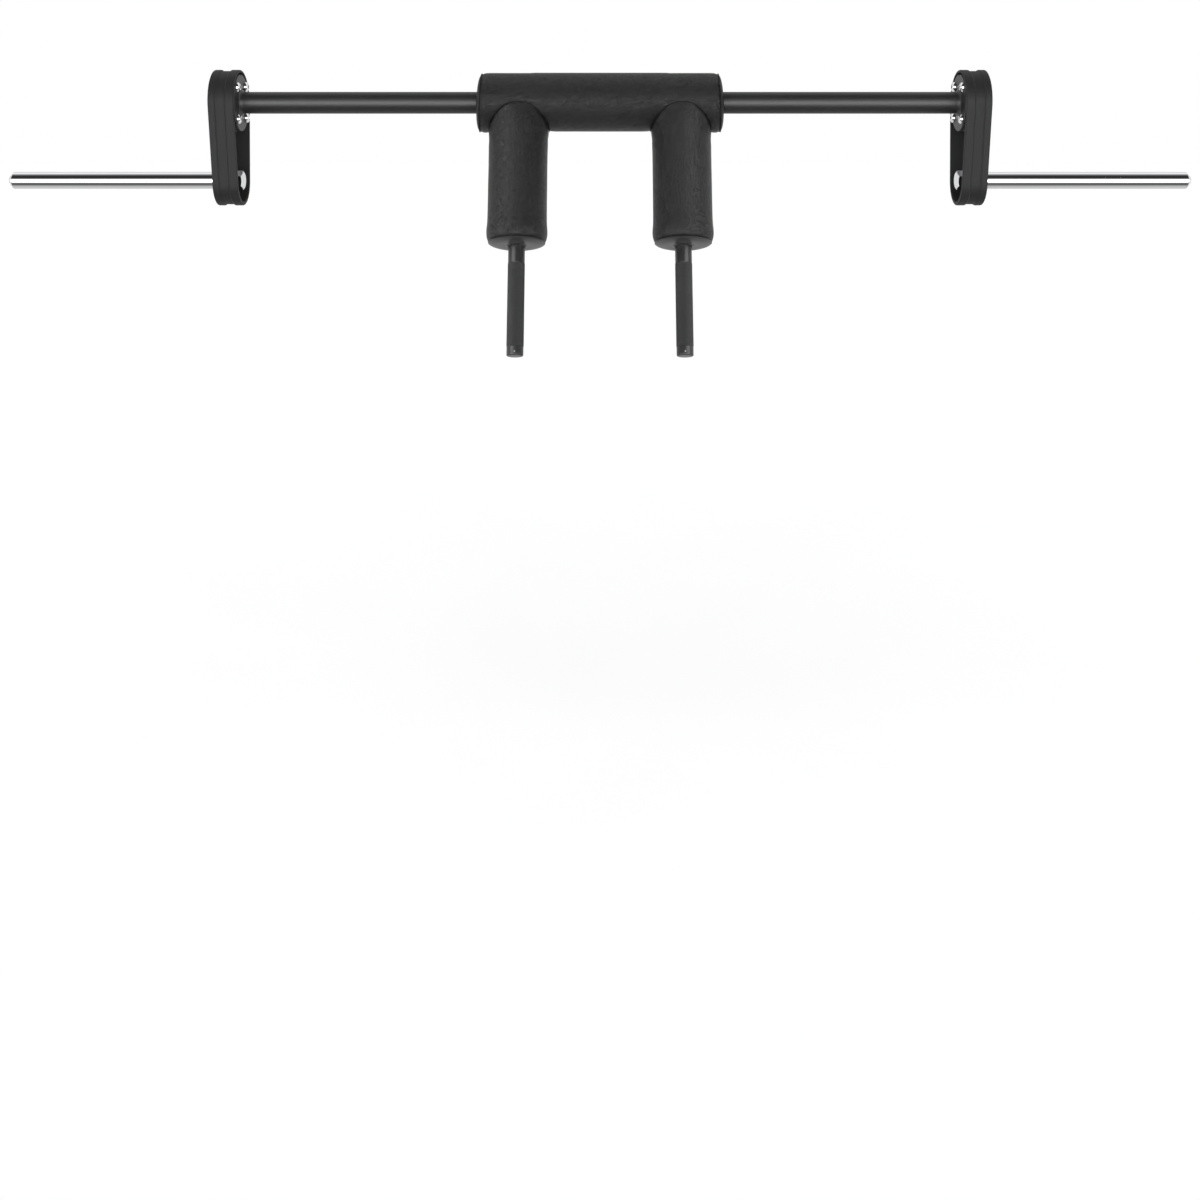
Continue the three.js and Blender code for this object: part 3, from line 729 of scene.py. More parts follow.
@cached
def leatherette():
    """Grained leatherette: flat-topped pebbles in wavy rows, shiny on top, with dull creases between that are
    darkened by painted shade.
    """
    material, paint = new_paint("leatherette_finish")
    rgb = settings().colours.leatherette
    place = paint.place()
    waviness = 0.004
    drift = paint.node("ShaderNodeTexNoise", None, {"Vector": place, "Scale": 90.0, "Detail": 2.0}, "Color")
    shifts = {0: drift, 1: (waviness,) * 3, 2: place}
    wavy = paint.node("ShaderNodeVectorMath", {"operation": "MULTIPLY_ADD"}, shifts)
    cells = {"Vector": paint.stretched(wavy, (0.65, 1.0, 1.0)), "Scale": 700.0, "Randomness": 1.0}
    crease = paint.node("ShaderNodeTexVoronoi", {"feature": "DISTANCE_TO_EDGE"}, cells)
    centre = paint.node("ShaderNodeTexVoronoi", {"feature": "F1"}, cells)
    pebble = paint.ramp(crease, [(0.0, 0.0), (0.07, 0.45), (0.14, 0.85), (0.24, 1.0)])
    fine = paint.noise(wavy, 2600, 2.0, 0.6)
    soft = paint.noise(place, 26, 3.0)
    height = pebble * (1 - 0.7 * centre ** 2) + 0.08 * fine
    # Painted shade: the colour darkens towards the creases between the pebbles
    tone = paint.mix(pebble, opaque(rgb, 0.12), opaque(rgb, 2.0))
    raised = {
        "Base Color": paint.mix(0.25 * soft, tone, opaque(rgb, 1.25)),
        "Roughness": 0.33 - 0.1 * pebble + 0.06 * soft,
        "Normal": paint.bump(height, 0.5 * MM),
    }
    # Painted shade: a dark surface without reflections, shown in the creases
    painted_shade_hollows = {"Base Color": opaque(rgb, 0.3), "Roughness": 0.9, "Specular IOR Level": 0.1}
    paint.surface(raised, painted_shade_hollows, pebble)
    return material


@cached
def panel_vinyl():
    """Smooth vinyl of the legs' end panels."""
    material, paint = new_paint("panel_vinyl_finish")
    rgb = settings().colours.vinyl
    place = paint.place()
    grain = paint.noise(place, 1500, 2.0, 0.6)
    soft = paint.noise(place, 45, 3.0)
    height = 0.3 * grain + 0.7 * soft
    paint.surface({
        "Base Color": paint.mix(soft, opaque(rgb, 0.9), opaque(rgb, 1.2)),
        "Roughness": 0.3 + 0.1 * grain,
        "Normal": paint.bump(height, 0.12 * MM),
    })
    return material


@cached
def sewing_thread():
    """Twisted bonded thread."""
    rgb = settings().colours.thread
    return grained("sewing_thread_finish", rgb, (0.7, 1.3), (3000, 2.0), None, (0.4, 0.2, 0), 0.06 * MM)


@cached
def seam_shade_strip():
    """Black with a fine woven grain, for a thin strip that paints shade in the seams."""
    rgb = settings().colours.seam_shade_strip
    weave, dull = (2400, 2.0), {"Specular IOR Level": 0.1}
    return grained("seam_cloth_finish", rgb, (0.6, 1.4), weave, None, (0.8, 0.15, 0), 0.05 * MM, dull)


# The bar's pieces


class SQUATBAR_OT_shaft(bpy.types.Operator):
    """Make the shaft, its flanges and the rings behind them"""

    bl_idname = "squat_bar.shaft"
    bl_label = "Shaft and flanges"

    WELD_STEPS = 8
    FLANGE_EDGE = 1.2 * MM

    def execute(self, context):
        shaft = settings().shaft
        end = shaft.half_length
        tube = ring_outline(-end, end, shaft.radius - shaft.wall, shaft.radius, shaft.edge)
        mesh = Skin().add(turned(tube, SHAFT_POINTS), wrap=True).mesh("bar_shaft")
        put("bar_shaft", mesh, powder_coat(), replaces=["shaft_tube"])
        for side in SIDES:
            for name, build, node in (
                ("flange", self.flange, "tube_flange"),
                ("spacer", self.spacer, "hub_spacer"),
            ):
                put(
                    f"{side}_{name}", build(shaft), powder_coat(), replaces=[f"{side}_{node}"],
                    where=side_turn(side),
                )
        return {"FINISHED"}

    @staticmethod
    def bolt_holes(shaft, start, end):
        """Cutters for the four bolt holes."""
        cutters = []
        for place in bolt_places():
            outline = [(start, 0), (start, shaft.bolt_radius), (end, shaft.bolt_radius), (end, 0)]
            drill = turned(outline, SMALL_POINTS)
            cutters.append(Skin().add(moved(drill, Matrix.Translation(place))).mesh("drill"))
        return cutters

    def flange(self, shaft):
        """The flange with its hollow weld, bolt holes and notch."""
        seat = settings().link.seat
        bore = shaft.radius + seat / 2
        face, back, leg = shaft.flange_face, shaft.flange_back, shaft.weld_leg
        rim = rounded([
            (back, bore, 0),
            (back, shaft.flange_radius, shaft.edge),
            (face, shaft.flange_radius, self.FLANGE_EDGE),
            (face, bore + leg, 0),
        ])
        weld = []
        for k in range(self.WELD_STEPS, -1, -1):
            turn = math.pi / 2 * k / self.WELD_STEPS
            weld.append((face - leg * (1 - math.sin(turn)), bore + seat + leg * (1 - math.cos(turn))))
        outline = rim[:-1] + weld + [(face - leg, bore)]
        depth = 4 * shaft.notch_depth
        half = shaft.notch_width / 2
        notch = [
            (-half, shaft.flange_radius + depth),
            (-half, shaft.flange_radius),
            (0, shaft.flange_radius - shaft.notch_depth),
            (half, shaft.flange_radius),
            (half, shaft.flange_radius + depth),
        ]
        wedge = [[Vector((place, y, z)) for y, z in notch] for place in (face - depth, back + depth)]
        cutters = self.bolt_holes(shaft, face - depth, back + depth)
        cutters.append(Skin().add(wedge, capped=True).mesh("notch"))
        return carved(Skin().add(turned(outline, FLANGE_POINTS), wrap=True).mesh("flange"), cutters)

    def spacer(self, shaft):
        link = settings().link
        start, end = shaft.flange_back + link.seat, link.plate_inner - link.seat
        ring = ring_outline(start, end, shaft.spacer_bore, shaft.spacer_radius, shaft.edge)
        body = Skin().add(turned(ring, RING_POINTS), wrap=True).mesh("spacer")
        return carved(body, self.bolt_holes(shaft, start - shaft.wall, end + shaft.wall))


def bolt_places():
    """The four flange bolts of a link, by their places in its YZ plane."""
    reach = settings().shaft.bolt_reach
    angles = [TURN * (2 * i + 1) / 8 for i in range(4)]
    return [Vector((0, reach * math.sin(angle), reach * math.cos(angle))) for angle in angles]


class SQUATBAR_OT_fasteners(bpy.types.Operator):
    """Make the domed flange bolts and their nuts"""

    bl_idname = "squat_bar.fasteners"
    bl_label = "Flange bolts and nuts"

    # Each socket and nut came to rest at its own angle, in degrees.
    STOP_EACH = 37
    STOP_LEFT = 11
    DOME_STEPS = 10
    CROWN_SHARE = 0.36
    SKIRT_SHARE = 0.12
    FOOT_SHARE = 0.985
    FOOT = 0.3 * MM
    SOCKET_LIP = 0.25 * MM
    CHAMFER = 0.8 * MM
    NUT_FACE_SHARE = 0.95
    NUT_CHAMFER = 0.6 * MM

    def execute(self, context):
        shaft = settings().shaft
        kinds = (
            ("bolt", self.bolt(shaft), chrome(), "chrome"),
            ("nut", self.nut(shaft), zinc_plate(), "zinc_plate"),
        )
        for side in SIDES:
            for number, place in enumerate(bolt_places(), 1):
                stop_at = self.STOP_EACH * number + (self.STOP_LEFT if side == "left" else 0)
                stop = Matrix.Rotation(math.radians(stop_at), 4, "X")
                where = side_turn(side) @ Matrix.Translation(place) @ stop
                for kind, mesh, paint, slot in kinds:
                    name, node = f"{side}_hub_{kind}_{number}", f"{side}_flange_{kind}_{number}"
                    put(name, mesh.copy(), paint, replaces=[node], where=where)
        return {"FINISHED"}

    def bolt(self, shaft):
        """A button head with its hexagonal socket, and a shank. The head's dome is an arc."""
        link = settings().link
        face = shaft.flange_face - link.seat
        top = face - shaft.head_height
        dome = [(face, shaft.head_radius * self.FOOT_SHARE), (face - self.FOOT, shaft.head_radius)]
        for k in range(self.DOME_STEPS + 1):
            turn = math.pi / 2 * k / self.DOME_STEPS
            rise = self.SKIRT_SHARE + (1 - self.SKIRT_SHARE) * math.sin(turn)
            reach = self.CROWN_SHARE + (1 - self.CROWN_SHARE) * math.cos(turn)
            dome.append((face - shaft.head_height * rise, shaft.head_radius * reach))
        socket = hexagon(shaft.socket_width)
        lip = hexagon(shaft.socket_width + 2 * self.SOCKET_LIP)
        floor = top + shaft.socket_depth
        inside = [(top, lip), (top + self.SOCKET_LIP, socket), (floor, socket), (floor + self.CHAMFER, 0)]
        end = link.plate_outer + link.seat + shaft.nut_height
        shank = [
            (end, 0),
            (end, shaft.bolt_radius - self.CHAMFER),
            (end - self.CHAMFER, shaft.bolt_radius),
            (face, shaft.bolt_radius),
        ]
        return Skin().add(turned(shank + dome + inside, FASTENER_POINTS)).mesh("bolt")

    def nut(self, shaft):
        """A hexagonal nut with chamfered faces."""
        link = settings().link
        start = link.plate_outer + link.seat
        end = start + shaft.nut_height
        flats = hexagon(shaft.nut_width)
        face = shaft.nut_width / 2 * self.NUT_FACE_SHARE

        def corner(angle):
            return (flats(angle) - face) * CHAMFER_SLOPE

        bore = shaft.bolt_radius + link.seat
        outline = [
            (start, bore),
            (start, face),
            (lambda angle: start + corner(angle), flats),
            (lambda angle: end - corner(angle), flats),
            (end, face),
            (end, bore + self.NUT_CHAMFER),
            (end - self.NUT_CHAMFER, bore),
        ]
        return Skin().add(turned(outline, FASTENER_POINTS), wrap=True).mesh("nut")


class SQUATBAR_OT_links(bpy.types.Operator):
    """Make the moulded bands and finish the link plates"""

    bl_idname = "squat_bar.links"
    bl_label = "Offset links"

    TOP_STEPS = 72
    BOTTOM_STEPS = 56
    SIDE_STEPS = 16
    RIB_ROUNDING = 0.5 * MM
    BEAD_ROUNDING = 0.3 * MM

    def execute(self, context):
        for side in SIDES:
            node = f"{side}_edge_band"
            where = side_turn(side)
            put(f"{side}_band", self.band(), moulded_band(), replaces=[node], where=where)
            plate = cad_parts[f"{side}_link_plate"]
            plate.data.materials.clear()
            plate.data.materials.append(satin_plate())
        return {"FINISHED"}

    def outline(self, top, bottom):
        """Points round the link: an arc round the shaft, a smaller one round the sleeve, and their tangents."""
        drop = settings().link.drop
        lean = math.asin((top - bottom) / drop)

        def arc(centre, radius, half, count, way):
            turns = [half * (2 * i / count - 1) for i in range(count + 1)]
            reach = way * radius
            return [(reach * math.sin(turn), centre + reach * math.cos(turn)) for turn in turns]

        def tangent(first, last):
            steps = self.SIDE_STEPS
            return [tuple(Vector(first).lerp(Vector(last), k / steps)) for k in range(1, steps)]

        large = arc(0, top, math.pi / 2 + lean, self.TOP_STEPS, 1)
        small = arc(-drop, bottom, math.pi / 2 - lean, self.BOTTOM_STEPS, -1)
        return large + tangent(large[-1], small[0]) + small + tangent(small[-1], large[0])

    def band(self):
        link = settings().link
        width = link.outer_face - link.inner_face
        slope = link.groove_slope / 2
        inner_bead = link.plate_inner - link.inner_face - link.seat
        outer_bead = link.plate_outer - link.inner_face + link.seat

        def profile(outside, wall):
            inside = outside - wall
            bead = inside - link.bead_height
            floor = outside - link.groove_depth
            near = link.inner_rib
            far = width - link.outer_rib
            return rounded([
                (0, outside, link.rim_radius),
                (near - slope, outside, self.RIB_ROUNDING),
                (near + slope, floor, self.RIB_ROUNDING),
                (far - slope, floor, self.RIB_ROUNDING),
                (far + slope, outside, self.RIB_ROUNDING),
                (width, outside, link.rim_radius),
                (width, inside, link.lip_radius),
                (outer_bead + link.bead_width, inside, self.BEAD_ROUNDING),
                (outer_bead + link.bead_width / 2, bead, self.BEAD_ROUNDING),
                (outer_bead, bead, 0),
                (outer_bead, inside, 0),
                (inner_bead, inside, 0),
                (inner_bead, bead, 0),
                (inner_bead - link.bead_width / 2, bead, self.BEAD_ROUNDING),
                (inner_bead - link.bead_width, inside, self.BEAD_ROUNDING),
                (0, inside, link.lip_radius),
            ])

        tops = profile(link.top_radius, link.wall_top)
        bottoms = profile(link.bottom_radius, link.wall_bottom)
        rings = []
        for (place, top), (_, bottom) in zip(tops, bottoms):
            rings.append([Vector((link.inner_face + place, y, z)) for y, z in self.outline(top, bottom)])
        return Skin().add(rings, wrap=True).mesh("band")


class SQUATBAR_OT_sleeves(bpy.types.Operator):
    """Make the loading sleeves, their bolts and their bearings"""

    bl_idname = "squat_bar.sleeves"
    bl_label = "Sleeves and bearings"

    HEX_POINTS = 96
    HEX_EDGE = 0.25 * MM
    COLLAR_FOOT = 0.4 * MM
    NOSE_ROUNDING = 2.5 * MM
    TIP_ROUNDING = 1.2 * MM
    HOUSING_WALL = 5 * MM
    HOUSING_EDGE = 0.6 * MM
    JOURNAL_ROOM = 0.5 * MM
    BUSH_ROOM = 0.35 * MM
    BUSH_FLANGE = 2 * MM
    BUSH_EDGE = 0.3 * MM

    def execute(self, context):
        sleeve = settings().sleeve
        for side in SIDES:
            body = f"{side}_sleeve_body"
            where = sleeve_place(side)
            for name, outline, node in (
                ("loading_sleeve", self.sleeve(sleeve), "sleeve"),
                ("bolt_washer", self.washer(sleeve), "sleeve_washer"),
            ):
                node = f"{side}_{node}"
                self.turned_piece(f"{side}_{name}", outline, where, chrome(), node, "chrome", body)
            head = Skin().add(turned(self.hex_bolt(sleeve), self.HEX_POINTS)).mesh("hex_bolt")
            put(f"{side}_hex_bolt", head, chrome(), body, [f"{side}_sleeve_bolt"], where)
            self.bearing(side, where)
        return {"FINISHED"}

    @staticmethod
    def turned_piece(name, outline, where, paint, node, slot, body=FRAME_BODY):
        mesh = Skin().add(turned(outline, RING_POINTS), wrap=outline[0][1] > TINY).mesh(name)
        put(name, mesh, paint, body, [node], where)

    def sleeve(self, sleeve):
        """Journal, stop collar, bar and conical nose, with the bolt's hole in the inner end."""
        collar_end = sleeve.collar_start + sleeve.collar_width
        bore_end = sleeve.journal_end + sleeve.bolt_bore_depth
        return rounded([
            (bore_end, 0, 0),
            (bore_end, sleeve.bolt_bore, 0),
            (sleeve.journal_end, sleeve.bolt_bore, 0),
            (sleeve.journal_end, sleeve.radius, sleeve.edge),
            (sleeve.collar_start, sleeve.radius, 0),
            (sleeve.collar_start, sleeve.collar_radius, sleeve.edge),
            (collar_end, sleeve.collar_radius, sleeve.edge),
            (collar_end, sleeve.radius, self.COLLAR_FOOT),
            (sleeve.tip - sleeve.nose_length, sleeve.radius, self.NOSE_ROUNDING),
            (sleeve.tip, sleeve.nose_radius, self.TIP_ROUNDING),
            (sleeve.tip, 0, 0),
        ])

    @staticmethod
    def washer(sleeve):
        inner, outer = low("right_sleeve_washer").x, high("right_sleeve_washer").x
        return ring_outline(inner, outer, sleeve.bolt_bore, sleeve.washer_radius, sleeve.edge)

    def hex_bolt(self, sleeve):
        """The outline of a hexagonal head with a chamfered face, and its shank."""
        face, end = low("right_sleeve_bolt").x, high("right_sleeve_bolt").x
        back = low("right_sleeve_washer").x - settings().link.seat
        flats = hexagon(sleeve.hex_width)
        edge = self.HEX_EDGE

        def slope(angle):
            return face + edge / 2 + (flats(angle) - sleeve.hex_face) * CHAMFER_SLOPE

        return [
            (face, 0),
            (face, sleeve.hex_face - edge),
            (face + edge / 2, sleeve.hex_face),
            (slope, flats),
            (back, flats),
            (back, sleeve.shank_radius),
            (end - edge, sleeve.shank_radius),
            (end, sleeve.shank_radius - edge),
            (end, 0),
        ]

    def bearing(self, side, where):
        """The housing and its two flanged bushes."""
        axis = -settings().link.drop
        start, end = low("right_bearing_housing").x, high("right_bearing_housing").x
        outer = high("right_bearing_housing").z - axis
        bore = outer - self.HOUSING_WALL
        ring = ring_outline(start, end, bore, outer, self.HOUSING_EDGE)
        node = f"{side}_bearing_housing"
        self.turned_piece(f"{side}_housing", ring, where, zinc_plate(), node, "zinc_plate")
        journal = settings().sleeve.radius + self.JOURNAL_ROOM
        barrel = bore - self.BUSH_ROOM
        for kind, near, far, way in (("inner", low, high, 1), ("outer", high, low, -1)):
            node = f"right_{kind}_bush"
            start, end = near(node).x, far(node).x
            step = start + way * self.BUSH_FLANGE
            flange_radius = high(node).z - axis
            ring = rounded([
                (start, journal, 0),
                (start, flange_radius, self.BUSH_EDGE),
                (step, flange_radius, self.BUSH_EDGE),
                (step, barrel, 0),
                (end, barrel, self.BUSH_EDGE),
                (end, journal, 0),
            ])
            node = f"{side}_{kind}_bush"
            self.turned_piece(f"{side}_{kind}_bearing", ring, where, bronze(), node, "bronze")


class SQUATBAR_OT_handles(bpy.types.Operator):
    """Make the yoke arms with their knurled grips, the end plugs and the pins"""

    bl_idname = "squat_bar.handles"
    bl_label = "Handles"

    KNURL_CREASE = math.radians(20)
    SEAM_SHARE = 0.3
    PLUG_POINTS = 96
    SPIGOT_LENGTH = 16 * MM
    SPIGOT_EDGE = 0.8 * MM
    PIN_LENGTH = 9 * MM
    PIN_STEPS = 6

    def execute(self, context):
        handles = settings().handles
        for side in SIDES:
            for name, mesh, paint, node, slot, crease in (
                ("handle", self.arm(handles), knurled_steel(), "yoke_arm", "grip_steel", self.KNURL_CREASE),
                ("end_plug", self.plug(handles), grip_steel(), "handle_plug", "grip_steel", HARD_CREASE),
                ("pin", self.pin(handles), satin_plate(), "plug_pin", "zinc_plate", HARD_CREASE),
            ):
                where, nodes = arm_place(side), [f"{side}_{node}"]
                put(f"{side}_{name}", mesh, paint, replaces=nodes, where=where, crease=crease)
        return {"FINISHED"}

    def arm(self, handles):
        """The arm tube: cut to the shaft's round at its root, with diamond knurling along the grip."""
        count = handles.around
        shaft = settings().shaft.radius + settings().link.seat
        bore = handles.radius - handles.wall
        floor = handles.grip_radius - handles.groove

        def saddle(radius):
            return (lambda angle: math.sqrt(shaft ** 2 - (radius * math.cos(angle)) ** 2), radius)

        seam = handles.end - handles.plug_head
        edge = handles.plug_seam
        skin = Skin()
        skin.add(turned([
            (seam - edge, bore),
            saddle(bore),
            saddle(handles.radius),
            (handles.grip_start - handles.groove, handles.radius),
            (handles.grip_start, floor),
        ], count))
        skin.add(turned([
            (handles.grip_end, floor),
            (handles.grip_end + handles.groove, handles.radius),
            (seam - edge, handles.radius),
            (seam - self.SEAM_SHARE * edge, handles.radius - self.SEAM_SHARE * edge),
            (seam, handles.radius - edge),
            (seam, bore),
            (seam - edge, bore),
        ], count))
        self.knurl(skin, handles, floor)
        return skin.mesh("arm")

    @staticmethod
    def knurl(skin, handles, floor):
        """Diamonds with sloping sides and small flat tops, between two sets of crossing grooves."""
        columns, rows = 2 * handles.around, 2 * handles.rows
        length = handles.grip_end - handles.grip_start

        def point(u, v, radius):
            angle = TURN * u / columns
            place = handles.grip_start + length * v / rows
            return Vector((place, radius * math.cos(angle), radius * math.sin(angle)))

        for v in range(rows + 1):
            for u in range(columns):
                if (u + v) % 2 == 0:
                    continue
                around = [(u + 1, v), (u, v + 1), (u - 1, v), (u, v - 1)]
                inside = [(a, b) for a, b in around if 0 <= b <= rows]
                start = len(skin.points)
                skin.points += [point(a, b, floor) for a, b in inside]
                if len(inside) < len(around):
                    skin.faces.append([start, start + 1, start + 2])
                    continue
                flat = handles.flat
                top = [(u + (a - u) * flat, v + (b - v) * flat) for a, b in inside]
                skin.points += [point(a, b, handles.grip_radius) for a, b in top]
                for k in range(4):
                    after = (k + 1) % 4
                    skin.faces.append([start + k, start + after, start + 4 + after, start + 4 + k])
                skin.faces.append([start + 4, start + 5, start + 6, start + 7])

    def plug(self, handles):
        start = handles.end - handles.plug_head
        spigot = handles.radius - handles.wall - settings().link.seat
        outline = rounded([
            (start - self.SPIGOT_LENGTH, 0, 0),
            (start - self.SPIGOT_LENGTH, spigot, self.SPIGOT_EDGE),
            (start, spigot, 0),
            (start, handles.radius, handles.plug_seam),
            (handles.end, handles.radius, handles.plug_edge),
            (handles.end, 0, 0),
        ])
        return Skin().add(turned(outline, self.PLUG_POINTS)).mesh("plug")

    def pin(self, handles):
        """A short pin on the front of the handle, with a domed end."""
        reach, proud, small = handles.radius, handles.pin_proud, handles.pin_radius
        foot = reach - self.PIN_LENGTH
        outline = [(foot, 0), (foot, small), (reach - proud, small)]
        for k in range(1, self.PIN_STEPS):
            turn = math.pi / 2 * k / self.PIN_STEPS
            outline.append((reach - proud + 2 * proud * math.sin(turn), small * math.cos(turn)))
        outline.append((reach + proud, 0))
        where = Matrix.Translation((handles.pin_place, 0, 0)) @ Matrix.Rotation(-math.pi / 2, 4, "Z")
        return Skin().add(moved(turned(outline, SMALL_POINTS), where)).mesh("pin")


# Pads


CLOTH_QUALITY = 6
CLOTH_MASS = 0.02
CLOTH_STIFFNESS = 5


def inflated(piece, held, pads):
    """Blows a cover up with a short cloth simulation. Held points stay, and the others only move out."""
    scene = bpy.context.scene
    group = piece.vertex_groups.new(name="held")
    group.add(sorted(held), 1.0, "REPLACE")
    change = piece.modifiers.new("inflate", "CLOTH")
    cloth = change.settings
    cloth.quality = CLOTH_QUALITY
    cloth.mass = CLOTH_MASS
    cloth.tension_stiffness = cloth.compression_stiffness = CLOTH_STIFFNESS
    cloth.shrink_min = -pads.ease
    cloth.vertex_group_mass = "held"
    cloth.use_pressure = True
    cloth.uniform_pressure_force = pads.pressure
    cloth.effector_weights.gravity = 0
    change.collision_settings.use_collision = False
    change.point_cache.frame_start = 1
    change.point_cache.frame_end = pads.steps
    for step in range(1, pads.steps + 1):
        scene.frame_set(step)
    shape = piece.evaluated_get(bpy.context.evaluated_depsgraph_get()).data
    ends = [v.co.copy() for v in shape.vertices]
    piece.modifiers.remove(change)
    piece.vertex_groups.remove(group)
    scene.frame_set(1)
    outward = [v.normal.copy() for v in piece.data.vertices]
    swell = [(end - vertex.co).dot(out) for vertex, out, end in zip(piece.data.vertices, outward, ends)]
    swell = evened([min(max(step, 0.0), pads.inflate_most) for step in swell], piece.data, held)
    for vertex, out, step in zip(piece.data.vertices, outward, swell):
        vertex.co += out * step


def evened(values, mesh, held, rounds=6):
    """Evens out the values of a mesh's points along its edges, so that no sharp fold stays."""
    neighbours = [[] for _ in values]
    for a, b in mesh.edge_keys:
        neighbours[a].append(b)
        neighbours[b].append(a)
    for _ in range(rounds):
        around = [sum(values[n] for n in near) / len(near) for near in neighbours]
        pairs = enumerate(zip(values, around))
        values = [value if i in held else (value + mean) / 2 for i, (value, mean) in pairs]
    return values


def soft_finish(piece):
    """One round of subdivision."""
    smooth = piece.modifiers.new("smooth", "SUBSURF")
    smooth.levels = smooth.render_levels = 1


STITCH_STEPS = 6
STITCH_POINTS = 8
STITCH_ROUNDNESS = 0.6
STITCH_SAG = 1.1


def stitches(skin, line, pads):
    """Small round-ended stitches along a line of (point, outward normal)."""
    half = pads.stitch / 2
    travelled = 0.0
    next_at = pads.stitch_pitch / 2
    for (a, normal), (b, _) in zip(line, line[1:]):
        span = (b - a).length
        while span > TINY and next_at < travelled + span:
            centre = a.lerp(b, (next_at - travelled) / span)
            along = (b - a).normalized()
            out = (normal - along * normal.dot(along)).normalized()
            basis = Matrix((along, out, along.cross(out))).transposed().to_4x4()
            rings = []
            for k in range(STITCH_STEPS + 1):
                turn = math.pi * k / STITCH_STEPS
                radius = pads.thread * math.sin(turn) ** STITCH_ROUNDNESS if 0 < k < STITCH_STEPS else 0
                sag = Matrix.Translation((0, -pads.thread * STITCH_SAG * math.cos(turn) ** 2, 0))
                rings.append(moved(turned([(-half * math.cos(turn), radius)], STITCH_POINTS), sag)[0])
            skin.add(moved(rings, Matrix.Translation(centre) @ basis))
            next_at += pads.stitch_pitch
        travelled += span


def gathers(point, seam, reach, waves, along, depth):
    """How far the small folds beside a seam stand out at a point, with some waves round and along the pad."""
    near = math.exp(-(seam - abs(point.x)) / reach)
    turn = math.atan2(point.z, point.y)
    where = Vector((waves * math.cos(turn), waves * math.sin(turn), point.x * along))
    return depth * near * noise.noise(where)


PANEL_POINTS = 96
PANEL_STEPS = 5
ROLL_RISE = 0.2 * MM


def panel_outline(start, edge, span, bulge, bore, lip, shares):
    """An end panel from its seam over the bulge to the rolled edge round its bore. The shares, each of
    (inward, out), are those of its span and its bulge."""
    face = [(start + bulge * rise, edge - span * inward) for inward, rise in shares]
    place, reach = face[-1][0] + ROLL_RISE, bore + lip
    turns = [math.radians(turn) for turn in range(70, -91, -20)]
    roll = [(place + lip * math.cos(turn), reach + lip * math.sin(turn)) for turn in turns]
    return smooth_line(face, PANEL_STEPS) + roll


